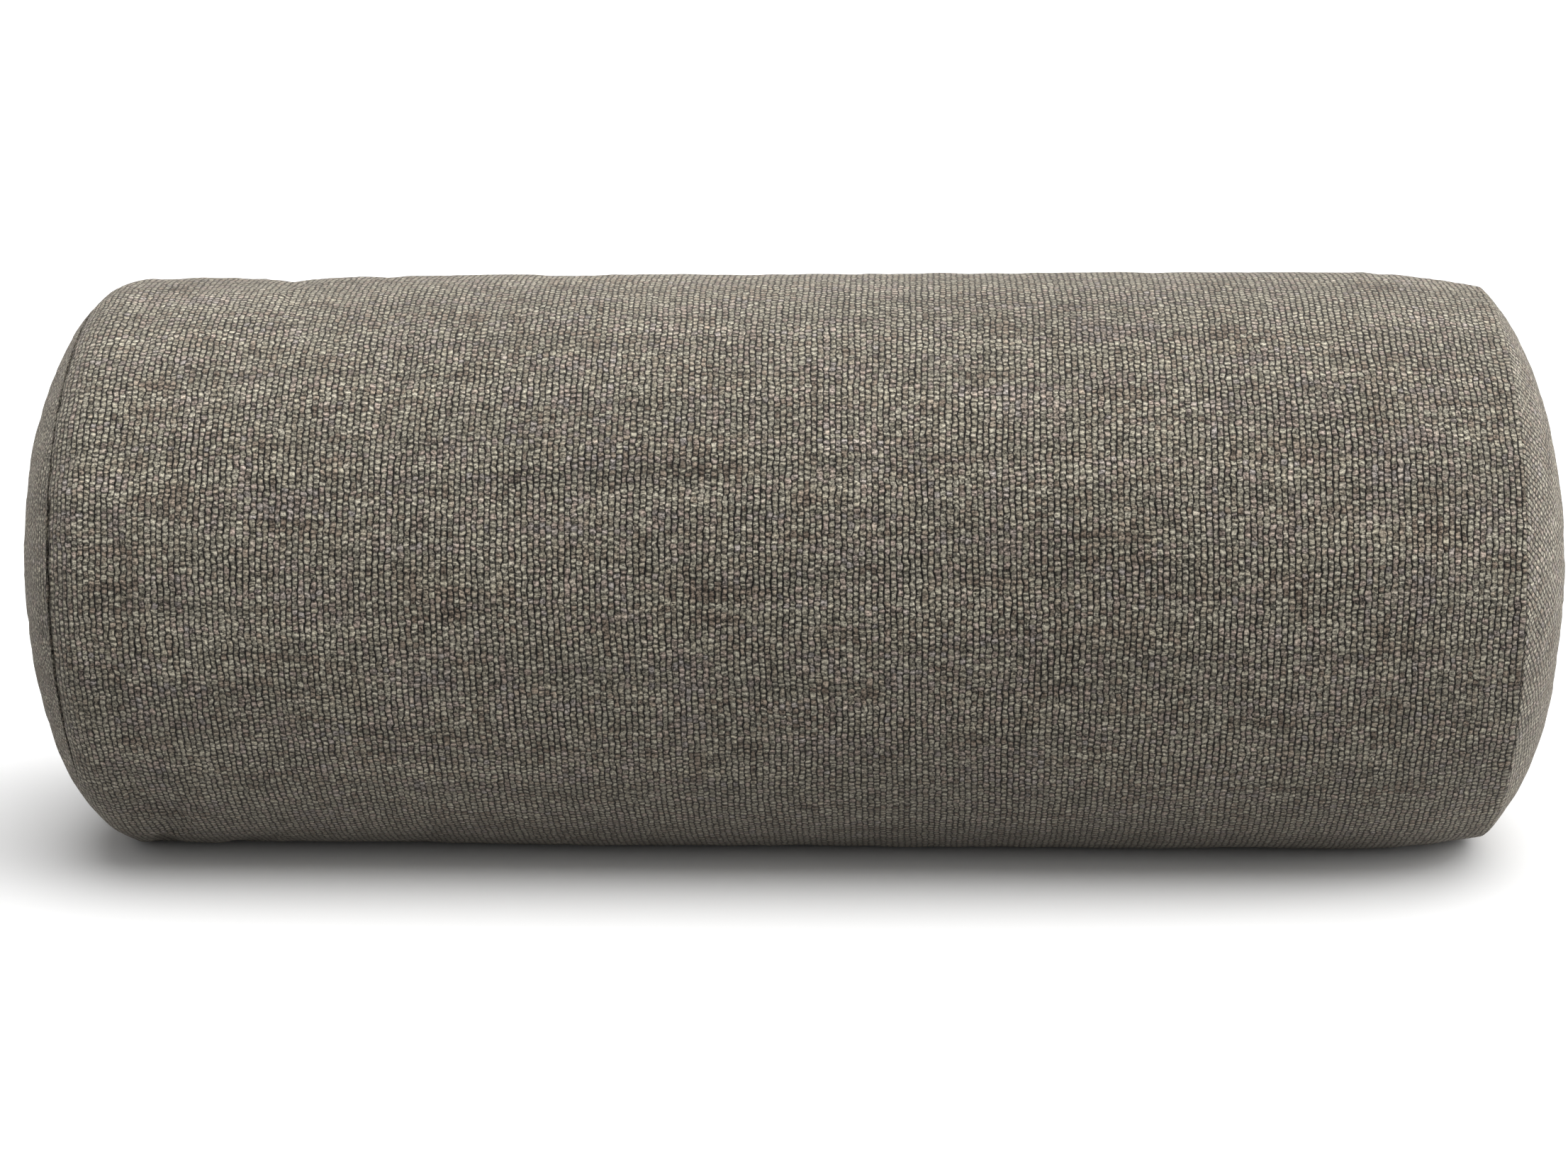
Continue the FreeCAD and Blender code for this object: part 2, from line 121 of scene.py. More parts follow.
LINER_DEPTH = 5.0 * MM
LINER_THICKNESS = 0.6 * MM
FILL_DEPTH = 5.8 * MM
LINER_ZIP_FLAT = 94.9 * MM
FILL_ZIP_FLAT = 94.1 * MM
TAPE_INNER_EDGE = 0.6 * MM
TAPE_OUTER_EDGE = 14 * MM
TAPE_TOP = 97.3 * MM
TAPE_THICKNESS = 0.55 * MM
TAPE_UNDER_COVER = 98.25 * MM
COIL_PITCH = 1.27 * MM
COIL_WIRE = 0.28 * MM
COIL_MIDDLE = 1.65 * MM
COIL_HEIGHT = 98.36 * MM


def smoothstep(low, high, x):
    t = np.clip((x - low) / (high - low), 0, 1)
    return t * t * (3 - 2 * t)


def smooth_min(a, b, soft):
    """The smaller of two values, rounded where they cross."""
    h = np.clip(0.5 + 0.5 * (b - a) / soft, 0, 1)
    return b * (1 - h) + a * h - soft * h * (1 - h)


def waves(u, v, seed, count, lengths, turns):
    """Smooth noise of about -1 to 1 over the length u and the angle v, periodic in v."""
    draw = np.random.default_rng(seed)
    total = 0
    for _ in range(count):
        k = FULL_TURN / draw.uniform(*lengths)
        m = int(draw.integers(turns[0], turns[1] + 1))
        phase = draw.uniform(0, FULL_TURN)
        total = total + np.cos(draw.choice([-1, 1]) * k * u + m * v + phase)
    return total / math.sqrt(count)


# ---- Outlines ----


def direction(degrees):
    return np.array([math.cos(math.radians(degrees)), math.sin(math.radians(degrees))])


def arc(centre, radius, start, end, count):
    return np.array([centre + radius * direction(a) for a in np.linspace(start, end, count)])


def joined(parts):
    points = np.concatenate(parts)
    apart = np.linalg.norm(np.diff(points, axis=0), axis=1) > 1e-7
    return points[np.r_[True, apart]]


def length_along(points):
    return np.r_[0, np.cumsum(np.linalg.norm(np.diff(points, axis=0), axis=1))]


def full_length(points):
    return length_along(points)[-1]


def resampled(points, stations):
    along = length_along(points)
    return np.stack([np.interp(stations, along, points[:, k]) for k in (0, 1)], 1)


def normals_of(points):
    """Outward normals of an outline that runs towards the end and the axis."""
    step = np.gradient(points, axis=0)
    step /= np.linalg.norm(step, axis=1)[:, None]
    return np.stack([-step[:, 1], step[:, 0]], 1)


def seam_point(end):
    return np.array([end["seam_x"], end["seam_radius"]])


def shoulder(end):
    """From the middle of the bolster over the shoulder to the seam."""
    normal = end["body_normal"]
    radius = (RADIUS - end["seam_radius"]) / (1 - math.sin(math.radians(normal)))
    centre = seam_point(end) - radius * direction(normal)
    return joined([np.array([[0.0, RADIUS]]), arc(centre, radius, 90, normal, 60)])


def dome(end):
    """From the seam over the stuffed end to its apex: one Bezier curve."""
    seam = seam_point(end) + SEAM_TURN * direction(end["body_normal"] - 90)
    reach = end["apex"] - seam[0]
    rise = seam + 0.8 * reach * direction(end["dome_normal"] - 90)
    handles = [seam, rise, [end["apex"], 0.5 * seam[1]], [end["apex"], 0]]
    t = np.linspace(0, 1, 160)[:, None]
    weights = [(1 - t) ** 3, 3 * t * (1 - t) ** 2, 3 * t**2 * (1 - t), t**3]
    return sum(weight * np.array(handle) for weight, handle in zip(weights, handles))


def body_outline(end):
    """The shoulder, and then the lip where the cloth turns in to the seam allowance."""
    normal = end["body_normal"]
    turned = normal - 85
    lip = arc(seam_point(end) - SEAM_TURN * direction(normal), SEAM_TURN, normal, turned, 16)
    tail = np.linspace(lip[-1], lip[-1] + SEAM_TUCK * direction(turned - 90), 4)
    return joined([shoulder(end), lip, tail])


def end_outline(end):
    """The allowance and lip on the end's side of the seam, and then the dome."""
    normal = end["dome_normal"]
    cap = dome(end)
    lip = arc(cap[0] - SEAM_TURN * direction(normal), SEAM_TURN, normal + 85, normal, 16)
    tail = np.linspace(lip[0] - SEAM_TUCK * direction(end["body_normal"]), lip[0], 4)
    return joined([tail, lip, cap])


def stuffed_outline(end):
    return joined([shoulder(end), dome(end)])


def inset(outline, depth):
    """The outline moved inwards, without the part that would cross itself at the seam's crease."""
    dense = resampled(outline, np.linspace(0, full_length(outline), 1200))
    moved = dense - depth * normals_of(dense)
    nearest = np.linalg.norm(moved[:, None] - dense[None], axis=2).min(axis=1)
    return moved[nearest > 0.99 * depth]


def split_at_crease(outline):
    """The body's part and the end's part of an inset outline, which meet where it bends most."""
    step = np.diff(outline, axis=0)
    heading = np.arctan2(step[:, 1], step[:, 0])
    crease = int(np.argmax(np.abs(np.diff(heading)[5:-5]))) + 6
    return outline[: crease + 1], outline[crease:]


# ---- Stuffing: the cover is blown up as cloth, and its seams hold it in ----


class Puff:
    """How far the stuffing pushes the cover out, by distance past the seam and by angle."""

    def __init__(self, past_seam, lift):
        self.past_seam = past_seam
        self.lift = lift

    def at(self, past_seam, angle):
        rows, sectors = self.lift.shape
        row = np.interp(past_seam, self.past_seam, np.arange(rows))
        row, column = np.broadcast_arrays(row, (angle % FULL_TURN) / FULL_TURN * sectors)
        i = np.minimum(row.astype(int), rows - 2)
        j = column.astype(int) % sectors
        down, along = row - i, column - np.floor(column)
        near = self.lift[i, j] * (1 - along) + self.lift[i, (j + 1) % sectors] * along
        far = self.lift[i + 1, j] * (1 - along) + self.lift[i + 1, (j + 1) % sectors] * along
        return near * (1 - down) + far * down


SIM_SPACING = 5.5 * MM
SIM_SECTORS = 120
SIM_FRAMES = 20
SIM_PRESSURE = 4.0
SIM_SLACK = 0.0018
SIM_START_DEPTH = 0.4 * MM
SIM_CAP = 2.2 * MM
SIM_RIPPLE = 0.3 * MM
SIM_STIFFNESS = 0.4
SIM_POLE_GAP = 3 * MM


def form_rows(end):
    """Stations of the form along one side, with one of them on the seam."""
    seam_at = full_length(shoulder(end))
    total = full_length(stuffed_outline(end))
    body = np.linspace(0, seam_at, int(seam_at / SIM_SPACING))
    cap = np.linspace(seam_at, total - SIM_POLE_GAP, int((total - seam_at) / SIM_SPACING))
    return np.r_[body, cap[1:]], seam_at


def form_side(side):
    """One side of the form: places, outward normals, which rows are on the seam, distances past it."""
    end = ENDS[side]
    stations, seam_at = form_rows(end)
    outline = stuffed_outline(end)
    points = resampled(outline, stations)
    normals = normals_of(points)
    angle = round_angles(SIM_SECTORS)
    places = place(side * points[:, :1], points[:, 1:], angle)
    facing = normals[:, None, 1:] * outward_at(angle)
    facing[..., 0] += side * normals[:, :1]
    return places, facing, np.abs(stations - seam_at) < 1e-6, stations - seam_at


def stuffing():
    """Blows up the closed form as cloth with pinned seams, and returns each side's puff."""
    sides = {side: form_side(side) for side in ENDS}
    places, facing, pinned = (across_middle({-1: sides[-1][k], 1: sides[1][k]}) for k in range(3))
    ripple = SIM_RIPPLE * np.random.default_rng(21).uniform(-1, 1, pinned.shape + (SIM_SECTORS,))
    start = places - facing * ((SIM_START_DEPTH + ripple) * ~pinned[:, None])[..., None]
    rows = len(pinned)
    caps = [ring(0, SIM_SECTORS), ring(rows - 1, SIM_SECTORS)[::-1]]
    form = mesh_piece("stuffed_form", start, grid_faces(rows, SIM_SECTORS) + caps)
    group = form.vertex_groups.new(name="seams")
    group.add(np.flatnonzero(np.repeat(pinned, SIM_SECTORS)).tolist(), 1.0, "REPLACE")
    cloth = form.modifiers.new("stuffing", "CLOTH")
    cloth.settings.use_pressure = True
    cloth.settings.uniform_pressure_force = SIM_PRESSURE
    cloth.settings.shrink_min = -SIM_SLACK
    cloth.settings.vertex_group_mass = "seams"
    cloth.settings.effector_weights.gravity = 0
    cloth.settings.bending_stiffness = SIM_STIFFNESS
    cloth.point_cache.frame_end = SIM_FRAMES
    for step in range(1, SIM_FRAMES + 1):
        bpy.context.scene.frame_set(step)
    blown = form.evaluated_get(bpy.context.evaluated_depsgraph_get()).to_mesh()
    found = np.empty(len(blown.vertices) * 3)
    blown.vertices.foreach_get("co", found)
    bpy.context.scene.frame_set(1)
    bpy.data.objects.remove(form)
    lift = ((found.reshape(places.shape) - places) * facing).sum(-1)
    lift = np.clip(lift, -SIM_CAP, SIM_CAP)
    left = len(sides[-1][3])
    return {-1: Puff(sides[-1][3], lift[:left][::-1]), 1: Puff(sides[1][3], lift[left - 1 :])}


# ---- Meshes ----


def round_angles(count):
    return np.linspace(0, FULL_TURN, count, endpoint=False)


def outward_at(angle):
    turn = ZIP_ANGLE - np.asarray(angle)
    return np.stack([0 * turn, np.cos(turn), np.sin(turn)], -1)


def place(x, radius, angle):
    x, radius, turn = np.broadcast_arrays(x, radius, ZIP_ANGLE - angle)
    return np.stack([x, radius * np.cos(turn), AXIS_HEIGHT + radius * np.sin(turn)], -1)


def place_by_zip(x, across, height):
    """Points at a distance across the zip, positive downwards, and a height above the axis."""
    return place(x, np.hypot(across, height), np.arctan2(across, height))


def linked(name, data):
    made = bpy.data.objects.new(name, data)
    bpy.context.scene.collection.objects.link(made)
    return made


def mesh_piece(name, points, faces, cloth=None, material=None):
    mesh = bpy.data.meshes.new(name)
    mesh.from_pydata(points.reshape(-1, 3).tolist(), [], faces)
    if cloth is not None:
        layer = mesh.attributes.new("cloth", "FLOAT_VECTOR", "POINT")
        layer.data.foreach_set("vector", np.asarray(cloth, np.float32).ravel())
    made = bmesh.new()
    made.from_mesh(mesh)
    bmesh.ops.recalc_face_normals(made, faces=made.faces)
    made.to_mesh(mesh)
    made.free()
    mesh.polygons.foreach_set("use_smooth", np.ones(len(mesh.polygons), bool))
    piece = linked(name, mesh)
    if material is not None:
        mesh.materials.append(material)
        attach(piece, "bolster")
    return piece


def grid_faces(rows, columns, start=0):
    """Quads of a grid of points, rows by columns, that closes on itself after its last column."""
    row = start + columns * np.arange(rows - 1)[:, None]
    column = np.arange(columns)
    beside = (column + 1) % columns
    quads = np.stack([row + column, row + beside, row + columns + beside, row + columns + column], -1)
    return quads.reshape(-1, 4).tolist()


def ring(row, columns):
    return list(range(row * columns, (row + 1) * columns))


def shell(rings, columns, closed):
    """Faces of rows of rings: joined last to first where closed is a loop, else capped at both ends."""
    faces = grid_faces(rings, columns)
    if closed:
        last, first = ring(rings - 1, columns), ring(0, columns)
        for j in range(columns):
            beside = (j + 1) % columns
            faces.append([last[j], last[beside], first[beside], first[j]])
    else:
        faces += [ring(0, columns), ring(rings - 1, columns)]
    return faces


def disc_faces(rows, sectors):
    """Faces of a disc of two layers: one from its rim to its middle, and the other from there back."""
    faces = grid_faces(rows, sectors) + grid_faces(rows, sectors, start=rows * sectors)
    first, last = ring(0, sectors), ring(2 * rows - 1, sectors)
    faces += [[last[j], last[j - 1], first[j - 1], first[j]] for j in range(sectors)]
    return faces + [ring(rows - 1, sectors), ring(rows, sectors)]


# ---- Skins: surfaces laid on an outline turned about the axis ----


BROAD_WAVES = 0.18 * MM
MEDIUM_WAVES = 0.14 * MM
PUCKERS = 0.2 * MM
PUCKER_REACH = 9 * MM
SETTLING = 1.4 * MM
CALM_MIDDLE_OF_END = 25 * MM
CALM_BESIDE_ZIP = (16 * MM, 45 * MM)
CALM_PAST_ZIP = (200 * MM, 220 * MM)
GROOVE_FADE = (188 * MM, 192 * MM)
SETTLED_X = (170 * MM, 235 * MM)
LEAN_X = (200 * MM, 240 * MM)
FURROW_DEPTH = 0.55 * MM
FURROW_WIDTH = 1.3 * MM
LIP_HEIGHT = 0.22 * MM
LIP_WIDTH = 0.9 * MM
LIP_LINE = 6.6 * MM


def off_zip(angle):
    """How far round from the zip's middle an angle is, either way."""
    return np.minimum(angle % FULL_TURN, -angle % FULL_TURN) * RADIUS


def stands_out(puff, x, radius, angle, past_seam):
    """How far the stuffed cloth stands out from its outline, evenly at the middle of an end."""
    broad = BROAD_WAVES * waves(x, angle, 11, 7, (0.14, 0.5), (0, 4))
    medium = MEDIUM_WAVES * waves(x, angle, 12, 9, (0.045, 0.12), (2, 9))
    pucker = np.exp(-np.abs(past_seam) / PUCKER_REACH) * waves(x * 0, angle, 13, 6, (1, 2), (24, 52))
    by_zip = 1 - smoothstep(*CALM_BESIDE_ZIP, off_zip(angle))
    by_zip = by_zip * (1 - smoothstep(*CALM_PAST_ZIP, np.abs(x)))
    along = x / HALF_LENGTH
    barrel = (0.4 + 0.7 * along - along**2) * MM
    underneath = np.maximum(-np.sin(ZIP_ANGLE - angle), 0) ** 2
    settled = SETTLING * underneath * smoothstep(*SETTLED_X, np.abs(x))
    uneven = (broad + medium) * smoothstep(0, CALM_MIDDLE_OF_END, radius)
    shape = barrel + settled + uneven + PUCKERS * pucker
    return (1 - 0.9 * by_zip) * (shape + puff.at(past_seam, angle))


def stitch_groove(x, angle):
    """The furrow along the topstitching and the plump lip between it and the zip."""
    off = off_zip(angle)
    furrow = FURROW_DEPTH * np.exp(-(((off - STITCH_LINE) / FURROW_WIDTH) ** 2))
    lip = LIP_HEIGHT * np.exp(-(((off - LIP_LINE) / LIP_WIDTH) ** 2))
    return (lip - furrow) * (1 - smoothstep(*GROOVE_FADE, np.abs(x)))


class Skin:
    """Rows along an outline on one side, on which cloth is laid round the axis."""

    def __init__(self, side, outline, seam_at, stations, puff):
        dense = np.linspace(0, full_length(outline), 4000)
        table = normals_of(resampled(outline, dense))
        normals = np.stack([np.interp(stations, dense, table[:, k]) for k in (0, 1)], 1)
        points = resampled(outline, stations)
        self.side, self.puff = side, puff
        self.x, self.radius = side * points[:, :1], points[:, 1:]
        self.normal_x, self.normal_radius = side * normals[:, :1], normals[:, 1:]
        self.past_seam = (stations - seam_at)[:, None]

    def laid(self, angle, depth=0.0, under=0.0, zip_flat=None, grooved=False):
        """Points by row and angle, at a depth below an outline that is under the cover's outside."""
        angle = np.broadcast_to(angle, (len(self.x), np.shape(angle)[-1]))
        out = stands_out(self.puff, self.x, self.radius, angle, self.past_seam)
        if grooved:
            out = out + stitch_groove(self.x, angle)
        thin = 0.14 + 0.86 * smoothstep(0, SEAM_FADE, np.abs(self.past_seam))
        inwards = out - depth * thin
        outside = self.radius + self.normal_radius * (out + under)
        down = np.maximum(-np.sin(ZIP_ANGLE - angle), 1e-6)
        sunk = outside - smooth_min(outside, AXIS_HEIGHT / down, 1.6 * MM)
        radius = self.radius + self.normal_radius * inwards - sunk
        if zip_flat is not None:
            radius = smooth_min(radius, zip_flat / np.maximum(np.cos(angle), 1e-6), 2 * MM)
        lean = math.radians(ENDS[self.side]["lean"]) * smoothstep(*LEAN_X, np.abs(self.x))
        x = self.x + self.normal_x * inwards
        return place(x + lean * np.sin(ZIP_ANGLE - angle) * radius, radius, angle)


def across_middle(rows):
    """Rows of both sides, each from the middle outwards, as one run from left to right."""
    return np.concatenate([rows[-1][::-1], rows[1][1:]])


# ---- Cover ----

BODY_COLUMNS = 96
NEAR_COLUMNS = 12
NEAR_WIDTH = 14 * MM
FLAP_COLUMNS = 6
FOLD_COLUMNS = 9
FINE_REACH = 45 * MM


def cover_loop():
    """One cross-section of the body's cloth, as distances round from the zip's middle and depths."""
    near = FOLD_RADIUS + np.linspace(0, NEAR_WIDTH, NEAR_COLUMNS)
    half = np.r_[near, np.linspace(near[-1], AROUND / 2, BODY_COLUMNS)[1:]]
    outer = np.r_[half, (AROUND - half[::-1])[1:]]
    flap = np.linspace(FOLD_RADIUS, ALLOWANCE, FLAP_COLUMNS)
    turn = np.linspace(math.pi, 0, FOLD_COLUMNS)[1:-1]
    first = np.r_[
        np.stack([flap, np.full(FLAP_COLUMNS, CLOTH_THICKNESS + FLAP_GAP)], 1),
        np.stack([flap[::-1], np.full(FLAP_COLUMNS, 2 * FOLD_RADIUS)], 1),
        np.stack([FOLD_RADIUS * (1 - np.sin(turn)), FOLD_RADIUS * (1 - np.cos(turn))], 1),
    ]
    last = first[::-1] * [-1, 1] + [AROUND, 0]
    top = np.stack([outer, np.zeros(len(outer))], 1)
    inner = np.stack([outer[::-1], np.full(len(outer), CLOTH_THICKNESS)], 1)
    return np.concatenate([first, top, last, inner]), len(first), len(outer)


def loop_cap(row, count, lead, outer):
    """Quads across the cloth's thickness at one end of the body, then its two flaps and folds."""
    base = row * count
    faces = []
    for k in range(outer - 1):
        faces.append([lead + k, lead + k + 1, count - 2 - k, count - 1 - k])
    for k in range(FLAP_COLUMNS - 1):
        low = [k, k + 1, 2 * FLAP_COLUMNS - 2 - k, 2 * FLAP_COLUMNS - 1 - k]
        faces.append(low)
        faces.append([2 * lead + outer - 1 - corner for corner in low])
    fold = [0] + list(range(2 * FLAP_COLUMNS - 1, lead + 1)) + [count - 1]
    opposite = [2 * lead + outer - 1 - corner for corner in fold[:-1]] + [2 * lead + outer]
    return [[base + corner for corner in face] for face in faces + [fold, opposite]]


def opening(x):
    """Half the gap between the folded edges: wide at the zip and closed beyond it."""
    wide = OPENING_HALF_WIDTH - SEAM_HALF_GAP
    return SEAM_HALF_GAP + wide * (1 - smoothstep(OPENING_END, OPENING_CLOSED, np.abs(x)))


def body_stations(total):
    """Rows along the body's outline, close together near the seam."""
    fine = np.arange(0, FINE_REACH, 1.1 * MM)
    coarse = np.linspace(FINE_REACH, total, int((total - FINE_REACH) / (3.4 * MM)))
    return np.sort(total - np.r_[fine, coarse[1:]])


def cover_body(material, puffs):
    loop, lead, outer = cover_loop()
    rounds, depth = loop.T
    places, weave = {}, {}
    for side, end in ENDS.items():
        outline = body_outline(end)
        stations = body_stations(full_length(outline))
        skin = Skin(side, outline, full_length(shoulder(end)), stations, puffs[side])
        spread = opening(skin.x) * np.exp(-np.minimum(rounds, AROUND - rounds) / (30 * MM))
        shifted = rounds + np.where(rounds < AROUND / 2, 1, -1) * spread
        places[side] = skin.laid(shifted / RADIUS, depth, grooved=True)
        along = side * stations[:, None] + 0 * shifted
        weave[side] = np.stack([along, shifted, 0 * shifted], -1)
    grid, cloth = across_middle(places), across_middle(weave)
    rows, count = grid.shape[:2]
    faces = grid_faces(rows, count)
    for row in (0, rows - 1):
        faces += loop_cap(row, count, lead, outer)
    return mesh_piece("cover_body", grid, faces, cloth, material)


END_SECTORS = 192
END_GRAIN = 0.45


def cover_end(side, material, puffs):
    end = ENDS[side]
    outline = end_outline(end)
    total = full_length(outline)
    seam_at = total - full_length(dome(end))
    stations = np.r_[np.arange(0, 12 * MM, 0.8 * MM), np.linspace(12 * MM, total - 0.5 * MM, 40)]
    skin = Skin(side, outline, seam_at, stations, puffs[side])
    angle = round_angles(END_SECTORS)
    outside = skin.laid(angle)
    inside = skin.laid(angle, CLOTH_THICKNESS)[::-1]
    reach = (total - stations)[:, None]
    grain = side * angle + END_GRAIN
    weave = np.stack([reach * np.cos(grain), reach * np.sin(grain), 3.0 + 0 * reach * grain], -1)
    name = "cover_end_panel_" + end["name"]
    both = np.concatenate([outside, inside])
    cloth = np.concatenate([weave, weave[::-1]])
    faces = disc_faces(len(stations), END_SECTORS)
    return mesh_piece(name, both, faces, cloth, material)


# ---- Threads: tubes along paths ----


def tubes(name, paths, outwards, radius, material, sides=6, taper=None):
    """A tube along each path: paths and their outward directions are arrays of (path, point, xyz)."""
    count, points = paths.shape[:2]
    tangent = np.gradient(paths, axis=1)
    tangent /= np.linalg.norm(tangent, axis=2, keepdims=True)
    beside = np.cross(tangent, outwards)
    beside /= np.linalg.norm(beside, axis=2, keepdims=True)
    above = np.cross(beside, tangent)
    angle = round_angles(sides)[:, None]
    thick = radius * (np.ones(points) if taper is None else taper)[None, :, None, None]
    spokes = above[:, :, None] * np.cos(angle) + beside[:, :, None] * np.sin(angle)
    rings = paths[:, :, None] + thick * spokes
    run = np.cumsum(np.linalg.norm(np.diff(paths, axis=1, prepend=paths[:, :1]), axis=2), axis=1)
    share = angle[:, 0] / FULL_TURN
    number = np.arange(count)[:, None, None] * 0.37
    cloth = np.stack(np.broadcast_arrays(run[:, :, None], share, number), -1)
    faces = []
    for k in range(count):
        faces += grid_faces(points, sides, start=k * points * sides)
        faces += [ring(k * points, sides), ring((k + 1) * points - 1, sides)]
    return mesh_piece(name, rings, faces, cloth, material)


def cover_surface(x, angle, puffs):
    """The radius of the cover's outside on its straight part."""
    past_seam = np.abs(x) - ABOUT_SEAM_X
    left, right = (stands_out(puffs[side], x, RADIUS, angle, past_seam) for side in (-1, 1))
    return RADIUS + np.where(x < 0, left, right) + stitch_groove(x, angle)


STITCH_POINTS = 9
STITCH_ARCH = 1 - np.abs(np.linspace(-1, 1, STITCH_POINTS)) ** 4
STITCH_TAPER = np.r_[0.55, 0.9, np.ones(STITCH_POINTS - 4), 0.9, 0.55]
STITCH_SKEW = 0.22 * MM
STITCH_RISE = 0.85 * MM
STITCH_SUNK = 0.6 * MM


def topstitching(name, sign, material, puffs):
    """A row of stitches, each of which dives into the cloth at its two ends."""
    draw = np.random.default_rng(31 + sign)
    starts = np.arange(-OPENING_END, OPENING_END - STITCH_LENGTH, STITCH_PITCH)[:, None]
    x = starts + STITCH_LENGTH * np.linspace(0, 1, STITCH_POINTS)
    skew = draw.uniform(-STITCH_SKEW, STITCH_SKEW, (len(starts), 2))
    off = STITCH_LINE + skew[:, :1] + skew[:, 1:] * np.linspace(-1, 1, STITCH_POINTS)
    angle = sign * off / RADIUS
    radius = cover_surface(x, angle, puffs) + STITCH_RISE * STITCH_ARCH - STITCH_SUNK
    paths, outwards = place(x, radius, angle), outward_at(angle)
    return tubes(name, paths, outwards, THREAD_RADIUS, material, sides=8, taper=STITCH_TAPER)


TACK_HALF_LENGTH = 6.3 * MM
TACK_STROKES = 30
STROKE_STEPS = 8
TACK_THREAD_RADIUS = 0.19 * MM
TACK_LIFT = 0.14 * MM
SEAM_THREAD_RADIUS = 0.2 * MM
SEAM_STITCH_PITCH = 3 * MM
SEAM_STITCH_POINTS = 7
SEAM_STITCH_REACH = 1.1 * MM
LONG_SEAM_END = 232 * MM


def tacks(material, puffs):
    """The bar tacks at both ends of the zip: one dense zigzag each."""
    steps = TACK_STROKES * STROKE_STEPS
    angle = np.linspace(-TACK_HALF_LENGTH, TACK_HALF_LENGTH, steps) / RADIUS
    swing = np.arcsin(0.98 * np.sin(np.arange(steps) * math.pi / STROKE_STEPS)) * 2 / math.pi
    x = np.array([[-TACK_X], [TACK_X]]) + (TACK_WIDTH / 2 - 0.2 * MM) * swing
    paths = place(x, cover_surface(x, angle, puffs) + TACK_LIFT, angle)
    outwards = np.broadcast_to(outward_at(angle), paths.shape)
    return tubes("tacks", paths, outwards, TACK_THREAD_RADIUS, material)


def end_seam_stitches(side, material, puffs):
    """Stitches across the seam, at the bottom of the crease between body and end."""
    end = ENDS[side]
    angle = round_angles(int(FULL_TURN * end["seam_radius"] / SEAM_STITCH_PITCH))
    across = np.linspace(-1, 1, SEAM_STITCH_POINTS)
    up, forward = direction(end["body_normal"]), direction(end["body_normal"] - 90)
    deep = seam_point(end) + SEAM_TURN / 2 * forward - 2.0 * MM * up
    reach, rise = SEAM_STITCH_REACH * across[:, None], 0.35 * MM * (1 - across[:, None] ** 2)
    profile = deep + reach * forward + rise * up
    lines = resampled(profile, np.linspace(0, full_length(profile), SEAM_STITCH_POINTS))
    skin = Skin(side, lines, 0, np.linspace(0, full_length(lines), SEAM_STITCH_POINTS), puffs[side])
    places = skin.laid(angle).transpose(1, 0, 2)
    outwards = np.broadcast_to(outward_at(angle)[:, None], places.shape)
    return tubes("end_seam_stitches_" + end["name"], places, outwards, SEAM_THREAD_RADIUS, material)


def long_seam_stitches(material):
    """Stitches that close the long seam between each end of the zip and the end seam."""
    starts = np.arange(TACK_X + SEAM_STITCH_PITCH, LONG_SEAM_END, SEAM_STITCH_PITCH)
    x = np.r_[-starts[::-1], starts][:, None]
    share = np.linspace(-1, 1, SEAM_STITCH_POINTS)
    across = SEAM_STITCH_REACH * share
    height = RADIUS - 2.4 * MM + 0.3 * MM * (1 - share**2)
    places = place_by_zip(*np.broadcast_arrays(x + 0.3 * across, across, height))
    outwards = np.broadcast_to(outward_at(0.0), places.shape)
    return tubes("long_seam_stitches", places, outwards, SEAM_THREAD_RADIUS, material)


# ---- Zip ----

TAPE_ROWS = 260
TAPE_COLUMNS = 24
COIL_STEPS = 14
COIL_TIGHTNESS = 0.998
COIL_HALF_WIDTH = 1.02 * MM
COIL_HALF_HEIGHT = 0.74 * MM
TAPE_RISE = (5 * MM, 8 * MM)
TAPE_RIPPLE = 0.05 * MM
CORD_RADIUS = 0.36 * MM


def tape(name, sign, material):
    """A woven tape that lies level under the coil and rises to the cover's flap beside it."""
    x = np.linspace(-TAPE_HALF_LENGTH, TAPE_HALF_LENGTH, TAPE_ROWS)[:, None]
    off = np.linspace(TAPE_INNER_EDGE, TAPE_OUTER_EDGE, TAPE_COLUMNS)
    rise = smoothstep(*TAPE_RISE, off)
    top = TAPE_TOP * (1 - rise) + rise * np.sqrt(TAPE_UNDER_COVER**2 - off**2)
    top = top - TAPE_RIPPLE * (1 + waves(x, 0 * x, 41 + sign, 5, (0.012, 0.05), (0, 0))) * rise
    bottom = top - TAPE_THICKNESS
    off_both = np.r_[off, off[::-1]] * np.ones_like(x)
    height = np.concatenate([top, bottom[:, ::-1]], 1)
    points = place_by_zip(x + 0 * off_both, sign * off_both, height)
    cloth = np.stack([x + 0 * off_both, off_both, 0 * off_both + 5], -1)
    rows, columns = off_both.shape
    faces = grid_faces(rows, columns) + [ring(0, columns), ring(rows - 1, columns)]
    return mesh_piece(name, points, faces, cloth, material)


